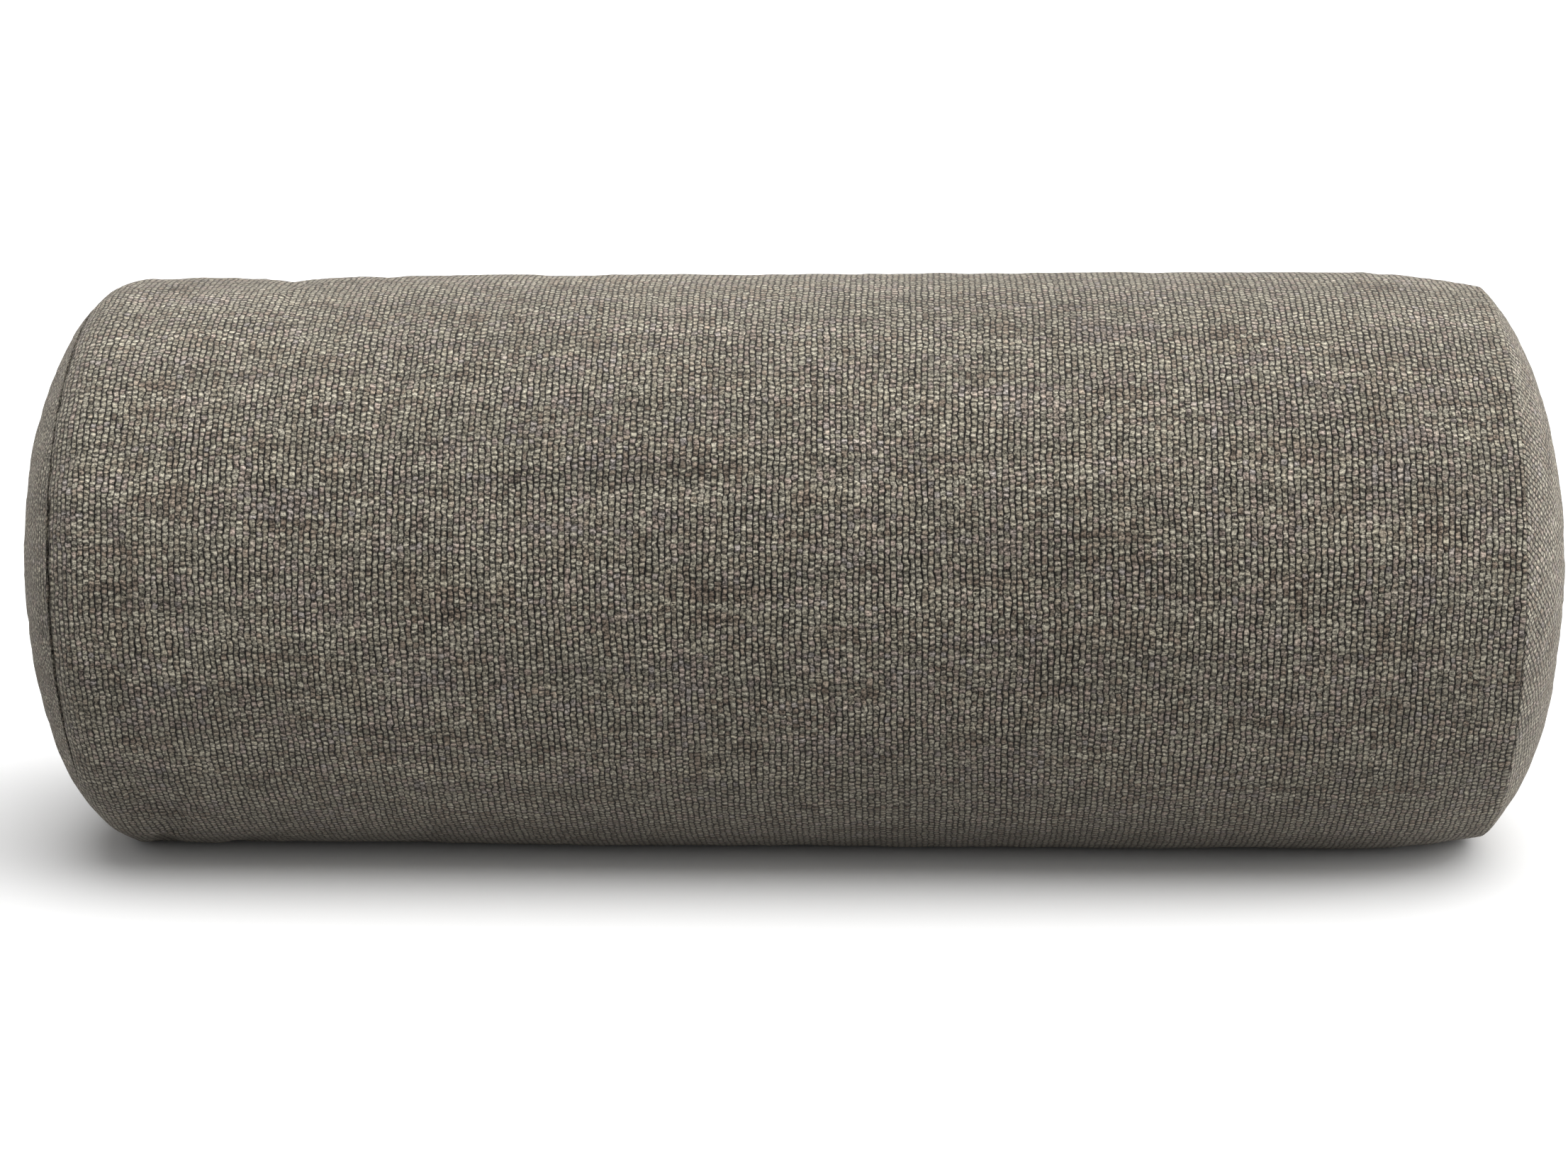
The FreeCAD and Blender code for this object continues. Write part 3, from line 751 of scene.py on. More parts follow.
def coil(name, sign, material):
    """A nylon coil: one wire wound into flattened turns, a quarter turn out of step with the other coil."""
    turns = int(2 * (CHAIN_HALF_LENGTH - COIL_WIRE) / COIL_PITCH)
    wound = np.linspace(0, turns, turns * COIL_STEPS + 1)
    angle = FULL_TURN * wound
    x = (wound - turns / 2) * COIL_PITCH * COIL_TIGHTNESS + sign * COIL_PITCH / 8
    x = np.clip(x, -CHAIN_HALF_LENGTH + COIL_WIRE, CHAIN_HALF_LENGTH - COIL_WIRE)
    across = COIL_MIDDLE - COIL_HALF_WIDTH * np.cos(angle) * (1 + 0.12 * np.cos(angle) ** 2)
    height = COIL_HEIGHT + COIL_HALF_HEIGHT * np.tanh(1.6 * np.sin(angle))
    path = place_by_zip(x, sign * across, height)[None]
    middle = place_by_zip(x, np.full_like(x, sign * COIL_MIDDLE), np.full_like(x, COIL_HEIGHT))[None]
    return tubes(name, path, path - middle, COIL_WIRE, material)


def coil_cord(name, sign, material):
    """The cord inside a coil."""
    x = np.linspace(-CHAIN_HALF_LENGTH + 1 * MM, CHAIN_HALF_LENGTH - 1 * MM, 200)
    flat = np.full_like(x, sign * (COIL_MIDDLE + 0.1 * MM))
    path = place_by_zip(x, flat, np.full_like(x, COIL_HEIGHT))[None]
    outwards = np.broadcast_to(outward_at(0.0), path.shape)
    return tubes(name, path, outwards, CORD_RADIUS, material, 8)


# ---- Inner pillow ----

BODY, END = 0, 1
BODY_ROWS = 60
PANEL_ROWS = 40
WADDING_ROWS = 90
LINER_SECTORS = 192
WADDING_SECTORS = 144
FOAM_SECTORS = 120
FOAM_EDGE = 6 * MM
LINER_LAYERS = (
    (LINER_DEPTH, LINER_ZIP_FLAT),
    (LINER_DEPTH + LINER_THICKNESS, LINER_ZIP_FLAT - LINER_THICKNESS),
)
OVERLOCK_COUNT = 150
OVERLOCK_POINTS = 7
OVERLOCK_RADIUS = 0.14 * MM
TUFT_DEPTH = 0.9 * MM


def inner_skin(side, depth, puff, part, rows):
    """Rows of the inner pillow's body or end at a depth below the cover's outside."""
    outline = joined([split_at_crease(inset(stuffed_outline(ENDS[side]), depth))[part]])
    total = full_length(outline)
    seam_at = (total, 0.0)[part]
    return Skin(side, outline, seam_at, np.linspace(0, total - part * 1 * MM, rows), puff)


def liner_body(material, puffs):
    angle = round_angles(LINER_SECTORS)
    layers = []
    for depth, flat in LINER_LAYERS:
        skins = {side: inner_skin(side, depth, puffs[side], BODY, BODY_ROWS) for side in ENDS}
        laid = {side: skins[side].laid(angle, 0.0, depth, flat) for side in ENDS}
        layers.append(across_middle(laid))
    points = np.concatenate([layers[0], layers[1][::-1]])
    run = points[..., 0]
    cloth = np.stack([run, angle * RADIUS + 0 * run, 0 * run + 7], -1)
    faces = shell(len(points), LINER_SECTORS, True)
    return mesh_piece("liner_body", points, faces, cloth, material)


def liner_panel(side, material, puffs):
    angle = round_angles(WADDING_SECTORS)
    layers = []
    for depth, _ in LINER_LAYERS:
        skin = inner_skin(side, depth, puffs[side], END, PANEL_ROWS)
        layers.append(skin.laid(angle, 0.0, depth))
    points = np.concatenate([layers[0], layers[1][::-1]])
    cloth = np.stack([points[..., 1], points[..., 2], 0 * points[..., 0] + 9], -1)
    faces = disc_faces(PANEL_ROWS, WADDING_SECTORS)
    return mesh_piece("liner_panel_" + ENDS[side]["name"], points, faces, cloth, material)


def liner_stitches(material, puffs):
    """Overlocked stitches along both end seams of the liner."""
    paths, outwards = [], []
    lean = 0.75 * np.linspace(-0.5, 0.5, OVERLOCK_POINTS) * FULL_TURN / OVERLOCK_COUNT
    angle = round_angles(OVERLOCK_COUNT)[:, None] + lean
    for side in ENDS:
        skin = inner_skin(side, LINER_DEPTH, puffs[side], BODY, 3)
        crease = skin.laid(angle.ravel(), 0.0, LINER_DEPTH, LINER_ZIP_FLAT)[-1]
        paths.append(crease.reshape(*angle.shape, 3) + outward_at(angle) * 0.16 * MM)
        outwards.append(outward_at(angle))
    paths, outwards = np.concatenate(paths), np.concatenate(outwards)
    return tubes("liner_stitches", paths, outwards, OVERLOCK_RADIUS, material)


def on_axis(points, x):
    """The places on the bolster's axis, at x, that belong to points round it."""
    middle = np.empty_like(points)
    middle[..., 0] = x
    middle[..., 1] = 0
    middle[..., 2] = AXIS_HEIGHT
    return middle


def tufted(points, middle, seed):
    """Points of loose filling, pulled in unevenly towards their middle."""
    rough = np.random.default_rng(seed).uniform(0, 1, points.shape[:2])
    rough = (rough + np.roll(rough, 1, 0) + np.roll(rough, 1, 1) + np.roll(rough, 1, (0, 1))) / 4
    inward = middle - points
    inward /= np.maximum(np.linalg.norm(inward, axis=-1, keepdims=True), 1e-6)
    return points + inward * (TUFT_DEPTH * rough)[..., None]


def fibre_sleeve(material, puffs):
    """Wadding wrapped round the core, as thick as the liner leaves room for."""
    angle = round_angles(WADDING_SECTORS)
    end_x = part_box("fibre_wrap")[1].x
    rows = {}
    for side in ENDS:
        skin = inner_skin(side, FILL_DEPTH, puffs[side], BODY, WADDING_ROWS)
        laid = skin.laid(angle, 0.0, FILL_DEPTH, FILL_ZIP_FLAT)
        rows[side] = laid[np.abs(skin.x[:, 0]) < end_x]
    outer = across_middle(rows)
    outer = tufted(outer, on_axis(outer, outer[..., 0]), 51)
    inner = place(np.linspace(end_x, -end_x, 60)[:, None], CORE_RADIUS + 0.4 * MM, angle)
    points = np.concatenate([outer, inner])
    faces = shell(len(points), WADDING_SECTORS, True)
    return mesh_piece("fibre_sleeve", points, faces, points, material)


def fibre_end(side, material, puffs):
    """Wadding between the core's end and the liner's end."""
    angle = round_angles(WADDING_SECTORS)
    name = ENDS[side]["name"]
    inner_x = min(abs(corner.x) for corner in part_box("fibre_pad_" + name))
    outline = joined([inset(stuffed_outline(ENDS[side]), FILL_DEPTH)])
    total = full_length(outline)
    low = np.interp(inner_x, outline[:, 0], length_along(outline))
    skin = Skin(side, outline, total - RADIUS, np.linspace(low, total - 2 * MM, 50), puffs[side])
    outer = skin.laid(angle, 0.0, FILL_DEPTH, FILL_ZIP_FLAT)
    outer = tufted(outer, on_axis(outer, side * inner_x), 60 + side)
    rim = outer[:1]
    shares = np.linspace(0.02, 0.97, 12)[:, None, None]
    inner = (1 - shares) * on_axis(rim, side * inner_x) + shares * rim
    inner[..., 0] = side * (inner_x + 0.2 * MM)
    points = np.concatenate([inner, outer])
    faces = shell(len(points), WADDING_SECTORS, False)
    return mesh_piece("fibre_end_" + name, points, faces, points, material)


def foam_block(material):
    """The foam core, with its edges rounded by the cutter and its surface slightly uneven."""
    angle = round_angles(FOAM_SECTORS)
    corner = arc(np.array([CORE_HALF_LENGTH - FOAM_EDGE, CORE_RADIUS - FOAM_EDGE]), FOAM_EDGE, 90, 0, 10)
    flat = np.stack([np.full(10, CORE_HALF_LENGTH), np.linspace(CORE_RADIUS - FOAM_EDGE, 1 * MM, 10)], 1)
    straight = np.stack([np.linspace(0, CORE_HALF_LENGTH - FOAM_EDGE, 60), np.full(60, CORE_RADIUS)], 1)
    half = joined([straight, corner, flat])
    outline = np.concatenate([half[::-1] * [-1, 1], half[1:]])
    uneven = 0.3 * MM * (1 + waves(outline[:, :1], angle, 71, 12, (0.02, 0.2), (1, 14)))
    radius = outline[:, 1:] - np.minimum(uneven, outline[:, 1:] / 4)
    points = place(outline[:, :1], radius, angle)
    faces = shell(len(points), FOAM_SECTORS, False)
    return mesh_piece("foam_block", points, faces, points, material)


# ---- Materials ----

# The darkest and the lightest colour of each plain material
TONES = {
    "taupe_thread": ((0.150, 0.130, 0.105), (0.290, 0.260, 0.215)),
    "white_thread": ((0.62, 0.60, 0.55), (0.86, 0.84, 0.78)),
    "herringbone_tape": ((0.078, 0.069, 0.059), (0.150, 0.134, 0.115)),
    "nylon_wire": ((0.115, 0.102, 0.087), (0.165, 0.148, 0.127)),
    "gunmetal": ((0.155, 0.148, 0.140), (0.190, 0.182, 0.171)),
    "ticking_cotton": ((0.55, 0.50, 0.41), (0.76, 0.72, 0.62)),
    "loose_wadding": ((0.66, 0.66, 0.64), (0.88, 0.88, 0.86)),
    "cut_foam": ((0.78, 0.68, 0.42), (0.86, 0.79, 0.56)),
}
BARE_METAL = (0.46, 0.43, 0.39, 1)
PLY_PITCH = 0.75 * MM
TWILL_PITCH = 0.75 * MM
TWILL_RIB = 1.6 * MM
TAPE_YARN = 0.32 * MM
TICKING_YARN = 0.9 * MM
WIRE_CUT_PITCH = 7 * MM

# Places of the colour sockets on Blender's Mix node
COLOUR_A, COLOUR_B, MIXED_COLOUR = 6, 7, 2


class Nodes:
    """Short names for the shader nodes of one material."""

    def __init__(self, name):
        self.material = bpy.data.materials.new(name)
        self.material.use_nodes = True
        self.tree = self.material.node_tree
        self.shader = self.tree.nodes["Principled BSDF"]

    def node(self, kind, **settings):
        made = self.tree.nodes.new(kind)
        for key, value in settings.items():
            setattr(made, key, value)
        return made

    def put(self, socket, value):
        if isinstance(value, bpy.types.NodeSocket):
            self.tree.links.new(value, socket)
        else:
            socket.default_value = value

    def filled(self, kind, values, output=0, **settings):
        """One output of a new node whose inputs are set, from a dictionary by name or place."""
        made = self.node(kind, **settings)
        for key, value in values.items():
            self.put(made.inputs[key], value)
        return made.outputs[output]

    def math(self, operation, *values):
        return self.filled("ShaderNodeMath", dict(enumerate(values)), operation=operation)

    def add(self, a, b):
        return self.math("ADD", a, b)

    def less(self, a, b):
        return self.math("SUBTRACT", a, b)

    def over(self, a, b):
        return self.math("DIVIDE", a, b)

    def times(self, *values):
        product = values[0]
        for value in values[1:]:
            product = self.math("MULTIPLY", product, value)
        return product

    def scale(self, value, low, high, to_low=0.0, to_high=1.0):
        return self.filled("ShaderNodeMapRange", dict(enumerate((value, low, high, to_low, to_high))))

    def between(self, share, low, high):
        return self.scale(share, 0, 1, low, high)

    def spread(self, noise, low=0.0, high=1.0):
        """From low to high over the range that noise covers."""
        return self.scale(noise, 0.3, 0.7, low, high)

    def vector(self, x, y, z):
        return self.filled("ShaderNodeCombineXYZ", {"X": x, "Y": y, "Z": z})

    def parts(self, vector):
        made = self.node("ShaderNodeSeparateXYZ")
        self.put(made.inputs[0], vector)
        return made.outputs

    def noise(self, vector, scale, detail=2.0, roughness=0.5):
        values = {"Vector": vector, "Scale": scale, "Detail": detail, "Roughness": roughness}
        return self.filled("ShaderNodeTexNoise", values, "Fac")

    def streaks(self, u, v, z, scale_u, scale_v, detail=2.0, roughness=0.5):
        """Noise over a surface, with its own scale in each direction."""
        stretched = self.vector(self.times(u, scale_u), self.times(v, scale_v), z)
        return self.noise(stretched, 1.0, detail, roughness)

    def cells(self, vector, scale):
        return self.filled("ShaderNodeTexVoronoi", {"Vector": vector, "Scale": scale}, "Distance")

    def random(self, value):
        return self.filled("ShaderNodeTexWhiteNoise", {"W": value}, "Value", noise_dimensions="1D")

    def wave(self, value, pitch):
        """A sine from 0 to 1 that repeats at every pitch."""
        return self.scale(self.math("SINE", self.times(value, FULL_TURN / pitch)), -1, 1)

    def cloth(self):
        return self.node("ShaderNodeAttribute", attribute_name="cloth").outputs["Vector"]

    def mix(self, share, a, b, blend="MIX"):
        values = {"Factor": share, COLOUR_A: a, COLOUR_B: b}
        return self.filled("ShaderNodeMix", values, MIXED_COLOUR, data_type="RGBA", blend_type=blend)

    def toned(self, share):
        """A colour between the darkest and the lightest of this material."""
        dark, light = TONES[self.material.name]
        return self.mix(share, (*dark, 1), (*light, 1))

    def shaded(self, colour, *shades):
        """A colour times one or more grey levels."""
        grey = self.times(*shades)
        return self.mix(1.0, colour, self.vector(grey, grey, grey), "MULTIPLY")

    def ramp(self, share, stops):
        made = self.node("ShaderNodeValToRGB")
        elements = made.color_ramp.elements
        while len(elements) < len(stops):
            elements.new(0.5)
        for element, (position, colour) in zip(elements, stops):
            element.position = position
            element.color = (*colour, 1)
        self.put(made.inputs[0], share)
        return made.outputs[0]

    def finish(self, colour, height, distance, roughness, **constants):
        self.put(self.shader.inputs["Base Color"], colour)
        self.put(self.shader.inputs["Roughness"], roughness)
        bump = self.node("ShaderNodeBump")
        bump.inputs["Distance"].default_value = distance
        self.put(bump.inputs["Height"], height)
        self.put(self.shader.inputs["Normal"], bump.outputs[0])
        for key, value in constants.items():
            self.shader.inputs[key.replace("_", " ")].default_value = value
        return self.material


WARP_PITCH = 2.03 * MM
WEFT_PITCH = 1.05 * MM
YARNS = [
    (0.05, (0.172, 0.134, 0.103)),
    (0.25, (0.257, 0.210, 0.164)),
    (0.42, (0.300, 0.274, 0.212)),
    (0.55, (0.327, 0.304, 0.244)),
    (0.68, (0.292, 0.236, 0.197)),
    (0.82, (0.275, 0.250, 0.231)),
    (0.95, (0.400, 0.338, 0.274)),
]


def round_yarn(n, share, width, power):
    """The height across a yarn: 1 in its middle and 0 from its edge on."""
    reach = n.math("POWER", n.math("ABSOLUTE", n.over(n.times(share, 2.0), width)), power)
    return n.math("SQRT", n.math("MAXIMUM", n.less(1.0, reach), 0.0))


def weft_float(n, column, across, weft, v, panel, zone):
    """One plump float of the weft over the warp of a column: its height, its number and its row."""
    odd = n.math("PINGPONG", column, 1.0)
    slip = n.between(n.streaks(column, v, panel, 3.7, 110.0, 1.0), -0.6, 0.6)
    stack = n.add(n.add(n.times(weft, 0.5), n.times(odd, 0.5)), slip)
    row = n.math("FLOOR", stack)
    along = n.less(n.math("FRACT", stack), 0.5)
    number = n.add(n.times(row, 61.7), n.times(column, 17.3))
    chance, chance_2 = n.random(number), n.random(n.add(number, 5.5))
    wide = n.times(n.between(chance, 0.82, 1.0), n.spread(zone, 0.92, 1.06))
    tall = n.times(n.between(chance_2, 0.64, 0.92), n.spread(zone, 1.08, 0.92))
    level = n.between(chance_2, 0.84, 1.0)
    height = n.times(round_yarn(n, across, wide, 5.0), round_yarn(n, along, tall, 2.2), level)
    yarn_row = n.add(n.times(row, 2.0), odd)
    return height, number, yarn_row


def chunky_weave():
    """Thick slubby yarns: each column's plump floats are half a float out of step with the next."""
    n = Nodes("chunky_weave")
    cloth = n.cloth()
    u, v, panel = n.parts(cloth)
    shifted = n.vector(n.add(u, 7.0), n.add(v, 3.0), panel)
    drift_u = n.between(n.noise(cloth, 14.0), -1.8 * MM, 1.8 * MM)
    drift_v = n.between(n.noise(shifted, 11.0), -3.4 * MM, 3.4 * MM)
    wobble_u = n.between(n.noise(cloth, 270.0, 1.0), -0.85 * MM, 0.85 * MM)
    wobble_v = n.between(n.noise(shifted, 220.0, 1.0), -1.3 * MM, 1.3 * MM)
    warp = n.over(n.add(u, n.add(drift_u, wobble_u)), WARP_PITCH)
    weft = n.over(n.add(v, n.add(drift_v, wobble_v)), WEFT_PITCH)
    column = n.math("FLOOR", warp)
    across = n.less(n.math("FRACT", warp), 0.5)
    zone = n.noise(shifted, 60.0, 2.0)
    towards = n.math("SIGN", across)
    lie = (weft, v, panel, zone)
    own, own_number, own_row = weft_float(n, column, across, *lie)
    next_column, next_across = n.add(column, towards), n.less(across, towards)
    beside, beside_number, beside_row = weft_float(n, next_column, next_across, *lie)
    bump = n.math("MAXIMUM", own, beside)
    is_beside = n.math("GREATER_THAN", beside, own)
    number = n.between(is_beside, own_number, beside_number)
    row = n.between(is_beside, own_row, beside_row)
    chance = n.random(number)
    level = n.between(n.random(n.add(own_number, 9.5)), 0.35, 0.70)
    warp_level = n.times(level, n.spread(zone, 0.85, 1.1))
    warp_yarn = n.times(round_yarn(n, across, 0.78, 2.6), warp_level)
    on_weft = n.scale(n.less(bump, warp_yarn), -0.04, 0.04)
    top = n.math("MAXIMUM", bump, warp_yarn)
    fibre_weft = n.streaks(u, v, chance, 900.0, 1500.0, 3.0, 0.7)
    fibre_warp = n.streaks(u, v, chance, 1500.0, 900.0, 3.0, 0.7)
    fibre = n.add(n.times(fibre_weft, on_weft), n.times(fibre_warp, n.less(1.0, on_weft)))
    height = n.add(n.times(fibre, 0.34), top)
    along_weft = n.streaks(u, row, panel, 22.0, 0.34, 2.0, 0.55)
    along_warp = n.streaks(column, v, n.add(panel, 9.0), 0.34, 30.0, 2.0, 0.55)
    spun = n.add(n.times(along_warp, 0.34), n.times(n.add(chance, -0.5), 0.05))
    spun = n.add(n.times(along_weft, 0.66), spun)
    colour = n.ramp(n.spread(spun), YARNS)
    tone = n.spread(n.noise(cloth, 8.0, 2.0), 0.90, 1.10)
    streak = n.spread(n.streaks(u, v, panel, 7.0, 110.0, 3.0), 0.80, 1.20)
    yarn = n.between(chance, 0.95, 1.05)
    strand = n.scale(fibre, 0.35, 0.65, 0.05, 1.95)
    # painted shade: the colour is darkened where the yarns lie low, in the gaps and pits between floats
    painted_gap_shade = n.scale(n.math("POWER", top, 1.6), 0.0, 0.85, 0.0, 1.18)
    colour = n.shaded(colour, tone, streak, yarn, strand, painted_gap_shade)
    fuzz = {"Sheen_Weight": 0.4, "Sheen_Roughness": 0.5, "Sheen_Tint": (1.0, 0.92, 0.82, 1)}
    return n.finish(colour, height, 0.5 * MM, 0.93, Specular_IOR_Level=0.15, **fuzz)


def spun_thread(name, gloss):
    """Twisted thread: two plies wound round each other, with a little fuzz."""
    n = Nodes(name)
    run, share, number = n.parts(n.cloth())
    ply = n.wave(n.add(run, n.times(share, 2 * PLY_PITCH)), PLY_PITCH)
    fuzz = n.streaks(run, share, number, 3500.0, 9.0, 3.0, 0.7)
    colour = n.toned(n.spread(fuzz))
    # painted shade: each thread is darker in the groove between its plies, where the ply wave is low
    colour = n.shaded(colour, n.between(ply, 0.55, 1.1), n.between(n.random(number), 0.9, 1.1))
    height = n.add(ply, n.times(fuzz, 0.4))
    return n.finish(colour, height, 0.08 * MM, n.spread(fuzz, gloss, gloss + 0.2), Sheen_Weight=0.1)


def herringbone_tape():
    """Polyester zip tape: fine twill whose diagonal turns back at every rib."""
    n = Nodes("herringbone_tape")
    u, v, number = n.parts(n.cloth())
    twill = n.wave(n.add(u, n.math("PINGPONG", v, TWILL_RIB)), TWILL_PITCH)
    yarn = n.wave(v, TAPE_YARN)
    fuzz = n.streaks(u, v, number, 1400.0, 2600.0, 3.0, 0.6)
    top = n.add(n.times(twill, 0.7), n.times(yarn, 0.3))
    worn = n.spread(n.noise(n.cloth(), 60.0), 0.9, 1.1)
    # painted shade: the tape is darker where the twill lies low
    colour = n.shaded(n.toned(n.spread(fuzz)), n.between(top, 0.5, 1.2), worn)
    return n.finish(colour, n.add(top, n.times(fuzz, 0.3)), 0.16 * MM, 0.82, Sheen_Weight=0.1)


def nylon_wire():
    """Moulded nylon: smooth and half glossy, with drawing lines along the wire."""
    n = Nodes("nylon_wire")
    run, share, number = n.parts(n.cloth())
    lines = n.streaks(run, share, number, 300.0, 26.0, 2.0, 0.5)
    mottle = n.streaks(run, share, number, 90.0, 2.0, 2.0, 0.5)
    return n.finish(n.toned(n.spread(mottle)), lines, 0.03 * MM, n.spread(lines, 0.28, 0.44))


def gunmetal():
    """Plated zinc: dark and brushed, rubbed bright along its edges."""
    n = Nodes("gunmetal")
    place_in = n.node("ShaderNodeTexCoord").outputs["Object"]
    x, y, z = n.parts(place_in)
    brushed = n.streaks(x, y, n.times(z, 5200.0), 900.0, 5200.0, 3.0, 0.6)
    blotch = n.noise(place_in, 420.0, 3.0, 0.6)
    edge = n.scale(n.node("ShaderNodeNewGeometry").outputs["Pointiness"], 0.51, 0.60)
    worn = n.math("MULTIPLY", edge, n.scale(blotch, 0.35, 0.6))
    colour = n.mix(worn, n.toned(n.spread(blotch)), BARE_METAL)
    roughness = n.add(n.spread(brushed, 0.24, 0.42), n.times(worn, -0.06))
    return n.finish(colour, brushed, 0.02 * MM, roughness, Metallic=1.0)


def ticking_cotton():
    """Closely woven undyed cotton, with slubs and specks."""
    n = Nodes("ticking_cotton")
    cloth = n.cloth()
    u, v, panel = n.parts(cloth)
    crossing = n.math("ABSOLUTE", n.less(n.wave(u, TICKING_YARN), n.wave(v, TICKING_YARN)))
    along_u = n.streaks(u, v, panel, 30.0, 900.0, 3.0, 0.6)
    along_v = n.streaks(u, v, panel, 900.0, 30.0, 3.0, 0.6)
    slub = n.math("MAXIMUM", along_u, along_v)
    speck = n.scale(n.cells(cloth, 160.0), 0.04, 0.07, 0.55, 1.0)
    # painted shade: the cotton is darker where the weave's crossings lie low
    colour = n.shaded(n.toned(n.scale(slub, 0.4, 0.75)), n.between(crossing, 0.72, 1.08), speck)
    roughness = n.scale(slub, 0.4, 0.7, 0.8, 0.95)
    return n.finish(colour, n.add(crossing, slub), 0.18 * MM, roughness, Sheen_Weight=0.08)


def loose_wadding():
    """Carded polyester fibre: white, matted and faintly lustrous."""
    n = Nodes("loose_wadding")
    place_in = n.cloth()
    bent = n.noise(place_in, 45.0, 2.0)
    x, y, z = n.parts(place_in)
    combed = n.vector(n.times(x, 140.0), n.add(n.times(y, 900.0), n.times(bent, 8.0)), n.times(z, 900.0))
    hair = n.noise(combed, 1.0, 4.0, 0.7)
    clump = n.noise(place_in, 70.0, 4.0, 0.6)
    # painted shade: the fibre is darker where it lies low between clumps
    colour = n.shaded(n.toned(n.spread(hair)), n.spread(clump, 0.82, 1.05))
    height = n.add(n.times(hair, 0.4), clump)
    return n.finish(colour, height, 1.2 * MM, n.spread(hair, 0.55, 0.8), Sheen_Weight=0.3)


def cut_foam():
    """Open-celled foam: fine pores of several sizes, and the shallow ridges a cutting wire leaves."""
    n = Nodes("cut_foam")
    place_in = n.cloth()
    pores = n.scale(n.cells(place_in, 900.0), 0.1, 0.6)
    large = n.scale(n.cells(place_in, 260.0), 0.02, 0.2)
    ridges = n.wave(n.parts(place_in)[0], WIRE_CUT_PITCH)
    age = n.noise(place_in, 30.0, 3.0)
    # painted shade: the foam is darker inside its pores, small and large
    colour = n.shaded(n.toned(n.spread(age)), n.between(pores, 0.7, 1.05), n.between(large, 0.8, 1.0))
    height = n.add(n.times(n.add(pores, large), 0.5), n.times(ridges, 0.12))
    return n.finish(colour, height, 0.5 * MM, n.between(pores, 0.96, 0.86))


def refine_metal(node, material):
    """Gives a CAD metal part softened edges and the metal's material."""
    part = frame["nodes"][node]
    welded = part.modifiers.new("weld", "WELD")
    welded.merge_threshold = 0.002 * MM
    rounded = part.modifiers.new("edges", "BEVEL")
    rounded.width = 0.12 * MM
    rounded.segments = 2
    rounded.limit_method = "ANGLE"
    rounded.angle_limit = math.radians(35)
    rounded.use_clamp_overlap = True
    for held in part.material_slots:
        held.material = material


# ---- Camera, light and floor ----

CAMERA_DISTANCE = 1.05
CAMERA_ELEVATION = math.radians(12)
CAMERA_AZIMUTH = math.radians(2.6)
CAMERA_ROLL = math.radians(-0.5)
CAMERA_LENS = 67.3
AIM = Vector((-2.4 * MM, 0, AXIS_HEIGHT - 10.2 * MM))
LAMPS = {
    "overhead": {"energy": 2.75, "spread": 70, "turn": (3, 14, 0)},
    "from_right": {"energy": 1.7, "spread": 50, "turn": (0, 70, -8)},
}
SKY_LIGHT = 0.38
SKY_SEEN = 1.1
FLOOR_BOUNCE = 0.45
FLOOR_SEEN = 0.99
FLOOR_REACH = 40.0


def camera():
    data = bpy.data.cameras.new("camera")
    data.lens = CAMERA_LENS
    data.sensor_width = 36
    made = linked("camera", data)
    level = math.cos(CAMERA_ELEVATION)
    across, away = math.sin(CAMERA_AZIMUTH) * level, -math.cos(CAMERA_AZIMUTH) * level
    back = Vector((across, away, math.sin(CAMERA_ELEVATION)))
    made.location = AIM + back * CAMERA_DISTANCE
    made.rotation_mode = "QUATERNION"
    made.rotation_quaternion = (-back).to_track_quat("-Z", "Y") @ Quaternion((0, 0, 1), CAMERA_ROLL)
    bpy.context.scene.camera = made


def light():
    for name, facts in LAMPS.items():
        lamp = bpy.data.lights.new(name, "SUN")
        lamp.energy = facts["energy"]
        lamp.angle = math.radians(facts["spread"])
        linked(name, lamp).rotation_euler = [math.radians(turn) for turn in facts["turn"]]
    world = bpy.data.worlds.new("room")
    bpy.context.scene.world = world
    world.use_nodes = True
    tree = world.node_tree
    sky = tree.nodes["Background"]
    sky.inputs["Color"].default_value = (1, 1, 1, 1)
    path = tree.nodes.new("ShaderNodeLightPath")
    level = tree.nodes.new("ShaderNodeMapRange")
    level.inputs["To Min"].default_value = SKY_LIGHT
    level.inputs["To Max"].default_value = SKY_SEEN
    tree.links.new(path.outputs["Is Camera Ray"], level.inputs["Value"])
    tree.links.new(level.outputs[0], sky.inputs["Strength"])


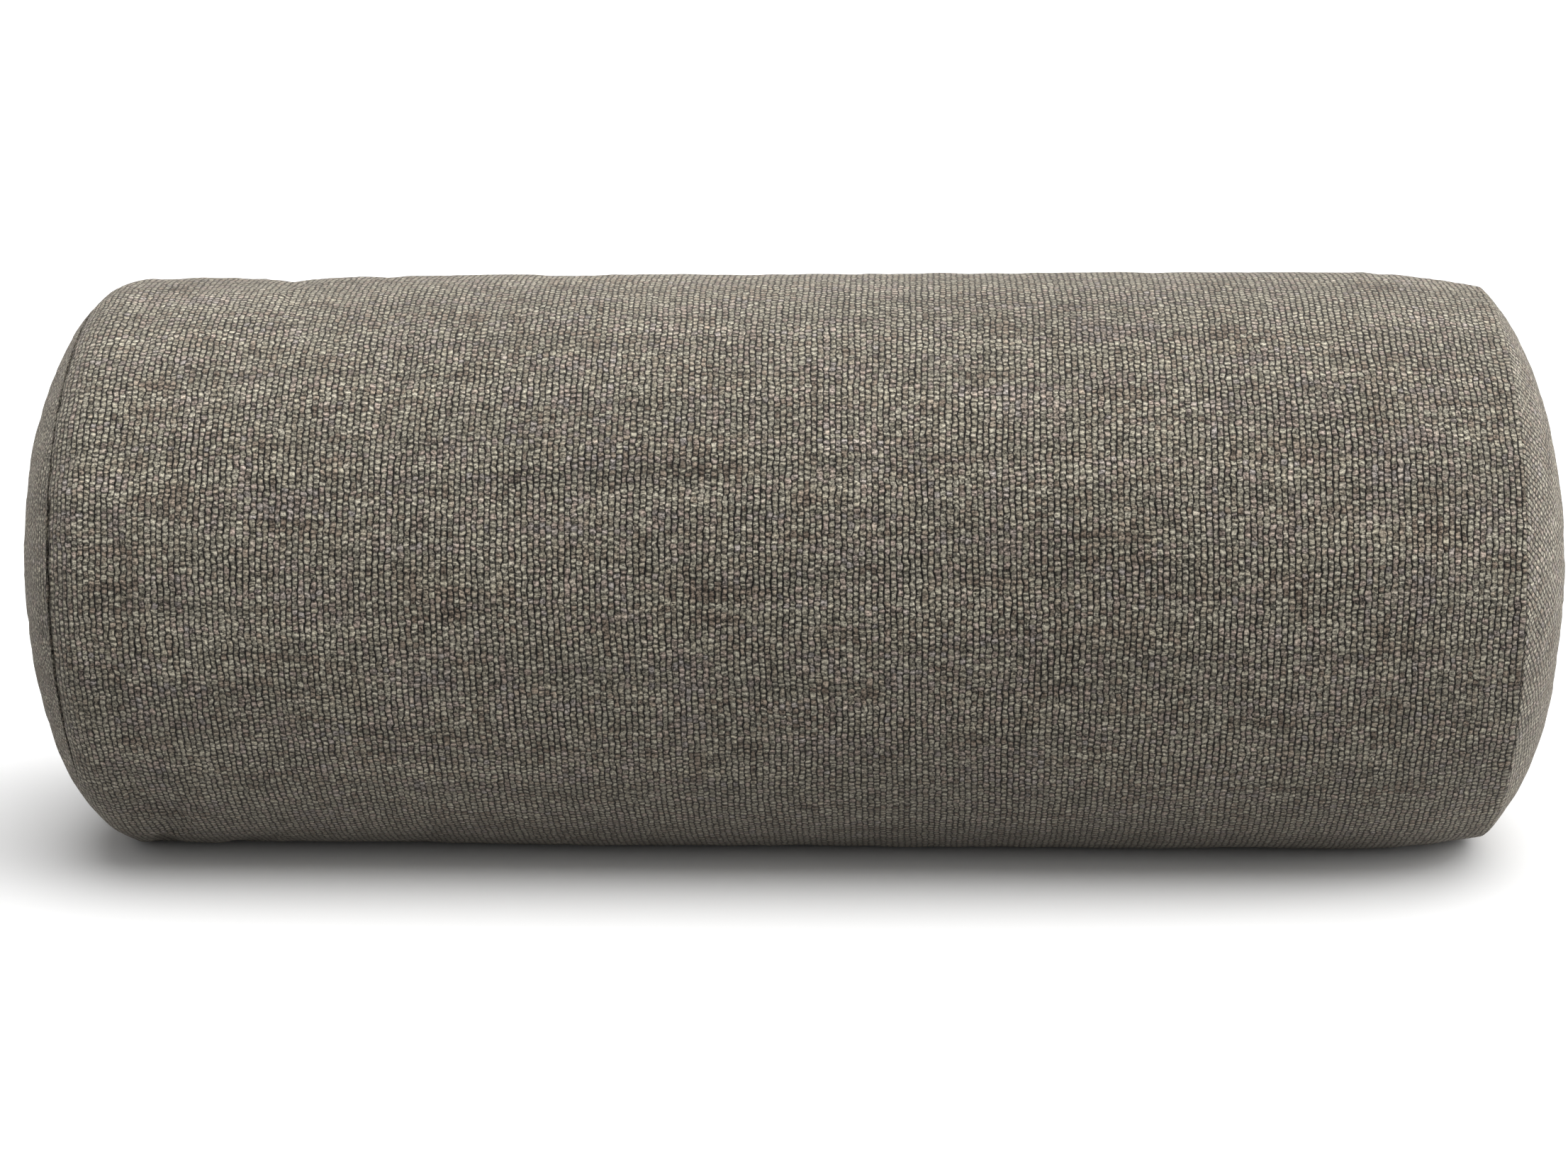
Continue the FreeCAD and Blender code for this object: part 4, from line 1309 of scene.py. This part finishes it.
def floor():
    """A white floor, which bounces as much light up as the photograph's shading asks for."""
    n = Nodes("floor")
    path = n.node("ShaderNodeLightPath").outputs["Is Camera Ray"]
    grain = n.noise(n.node("ShaderNodeTexCoord").outputs["Object"], 900.0)
    bounce, seen = (FLOOR_BOUNCE,) * 3 + (1,), (FLOOR_SEEN,) * 3 + (1,)
    n.put(n.shader.inputs["Base Color"], n.mix(path, bounce, seen))
    n.put(n.shader.inputs["Roughness"], n.between(grain, 0.9, 1.0))
    n.shader.inputs["Specular IOR Level"].default_value = 0.0
    corners = [(x * FLOOR_REACH, y * FLOOR_REACH, 0) for x, y in ((-1, -1), (1, -1), (1, 1), (-1, 1))]
    mesh = bpy.data.meshes.new("floor")
    mesh.from_pydata(corners, [], [(0, 1, 2, 3)])
    mesh.materials.append(n.material)
    linked("floor", mesh)


# ---- Assembly ----


def build_cover(weave, thread, puffs):
    body = cover_body(weave, puffs)
    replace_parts(body, "cover_tube")
    for side, end in ENDS.items():
        panel = cover_end(side, weave, puffs)
        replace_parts(panel, "cover_end_" + end["name"])
        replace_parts(end_seam_stitches(side, thread, puffs), "end_seam_thread_" + end["name"])
    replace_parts(long_seam_stitches(thread), "long_seam_thread")


def build_zip(thread, puffs):
    woven, nylon, metal = herringbone_tape(), nylon_wire(), gunmetal()
    for name, sign in (("upper", -1), ("lower", 1)):
        strip = tape("tape_" + name, sign, woven)
        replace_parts(strip, "zip_tape_" + name)
        wound = coil("coil_" + name, sign, nylon)
        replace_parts(wound, "zip_coil_" + name)
        coil_cord("coil_cord_" + name, sign, woven)
        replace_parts(topstitching("topstitching_" + name, sign, thread, puffs), "zip_stitch_" + name)
    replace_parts(tacks(thread, puffs), "bar_tacks")
    for node in ("zip_slider", "zip_pull", "zip_top_stops", "zip_bottom_stop"):
        refine_metal(node, metal)


def build_inner_pillow(puffs):
    cotton, fibre = ticking_cotton(), loose_wadding()
    liner = liner_body(cotton, puffs)
    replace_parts(liner, "liner_tube")
    white_thread = spun_thread("white_thread", 0.5)
    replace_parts(liner_stitches(white_thread, puffs), "liner_seam_threads")
    sleeve = fibre_sleeve(fibre, puffs)
    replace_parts(sleeve, "fibre_wrap")
    for side, end in ENDS.items():
        panel = liner_panel(side, cotton, puffs)
        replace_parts(panel, "liner_end_" + end["name"])
        pad = fibre_end(side, fibre, puffs)
        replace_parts(pad, "fibre_pad_" + end["name"])
    core = foam_block(cut_foam())
    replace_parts(core, "foam_core")


def build():
    bpy.context.scene.view_settings.view_transform = "Standard"
    camera()
    light()
    floor()
    puffs = stuffing()
    thread = spun_thread("taupe_thread", 0.55)
    build_cover(chunky_weave(), thread, puffs)
    build_zip(thread, puffs)
    build_inner_pillow(puffs)


build()
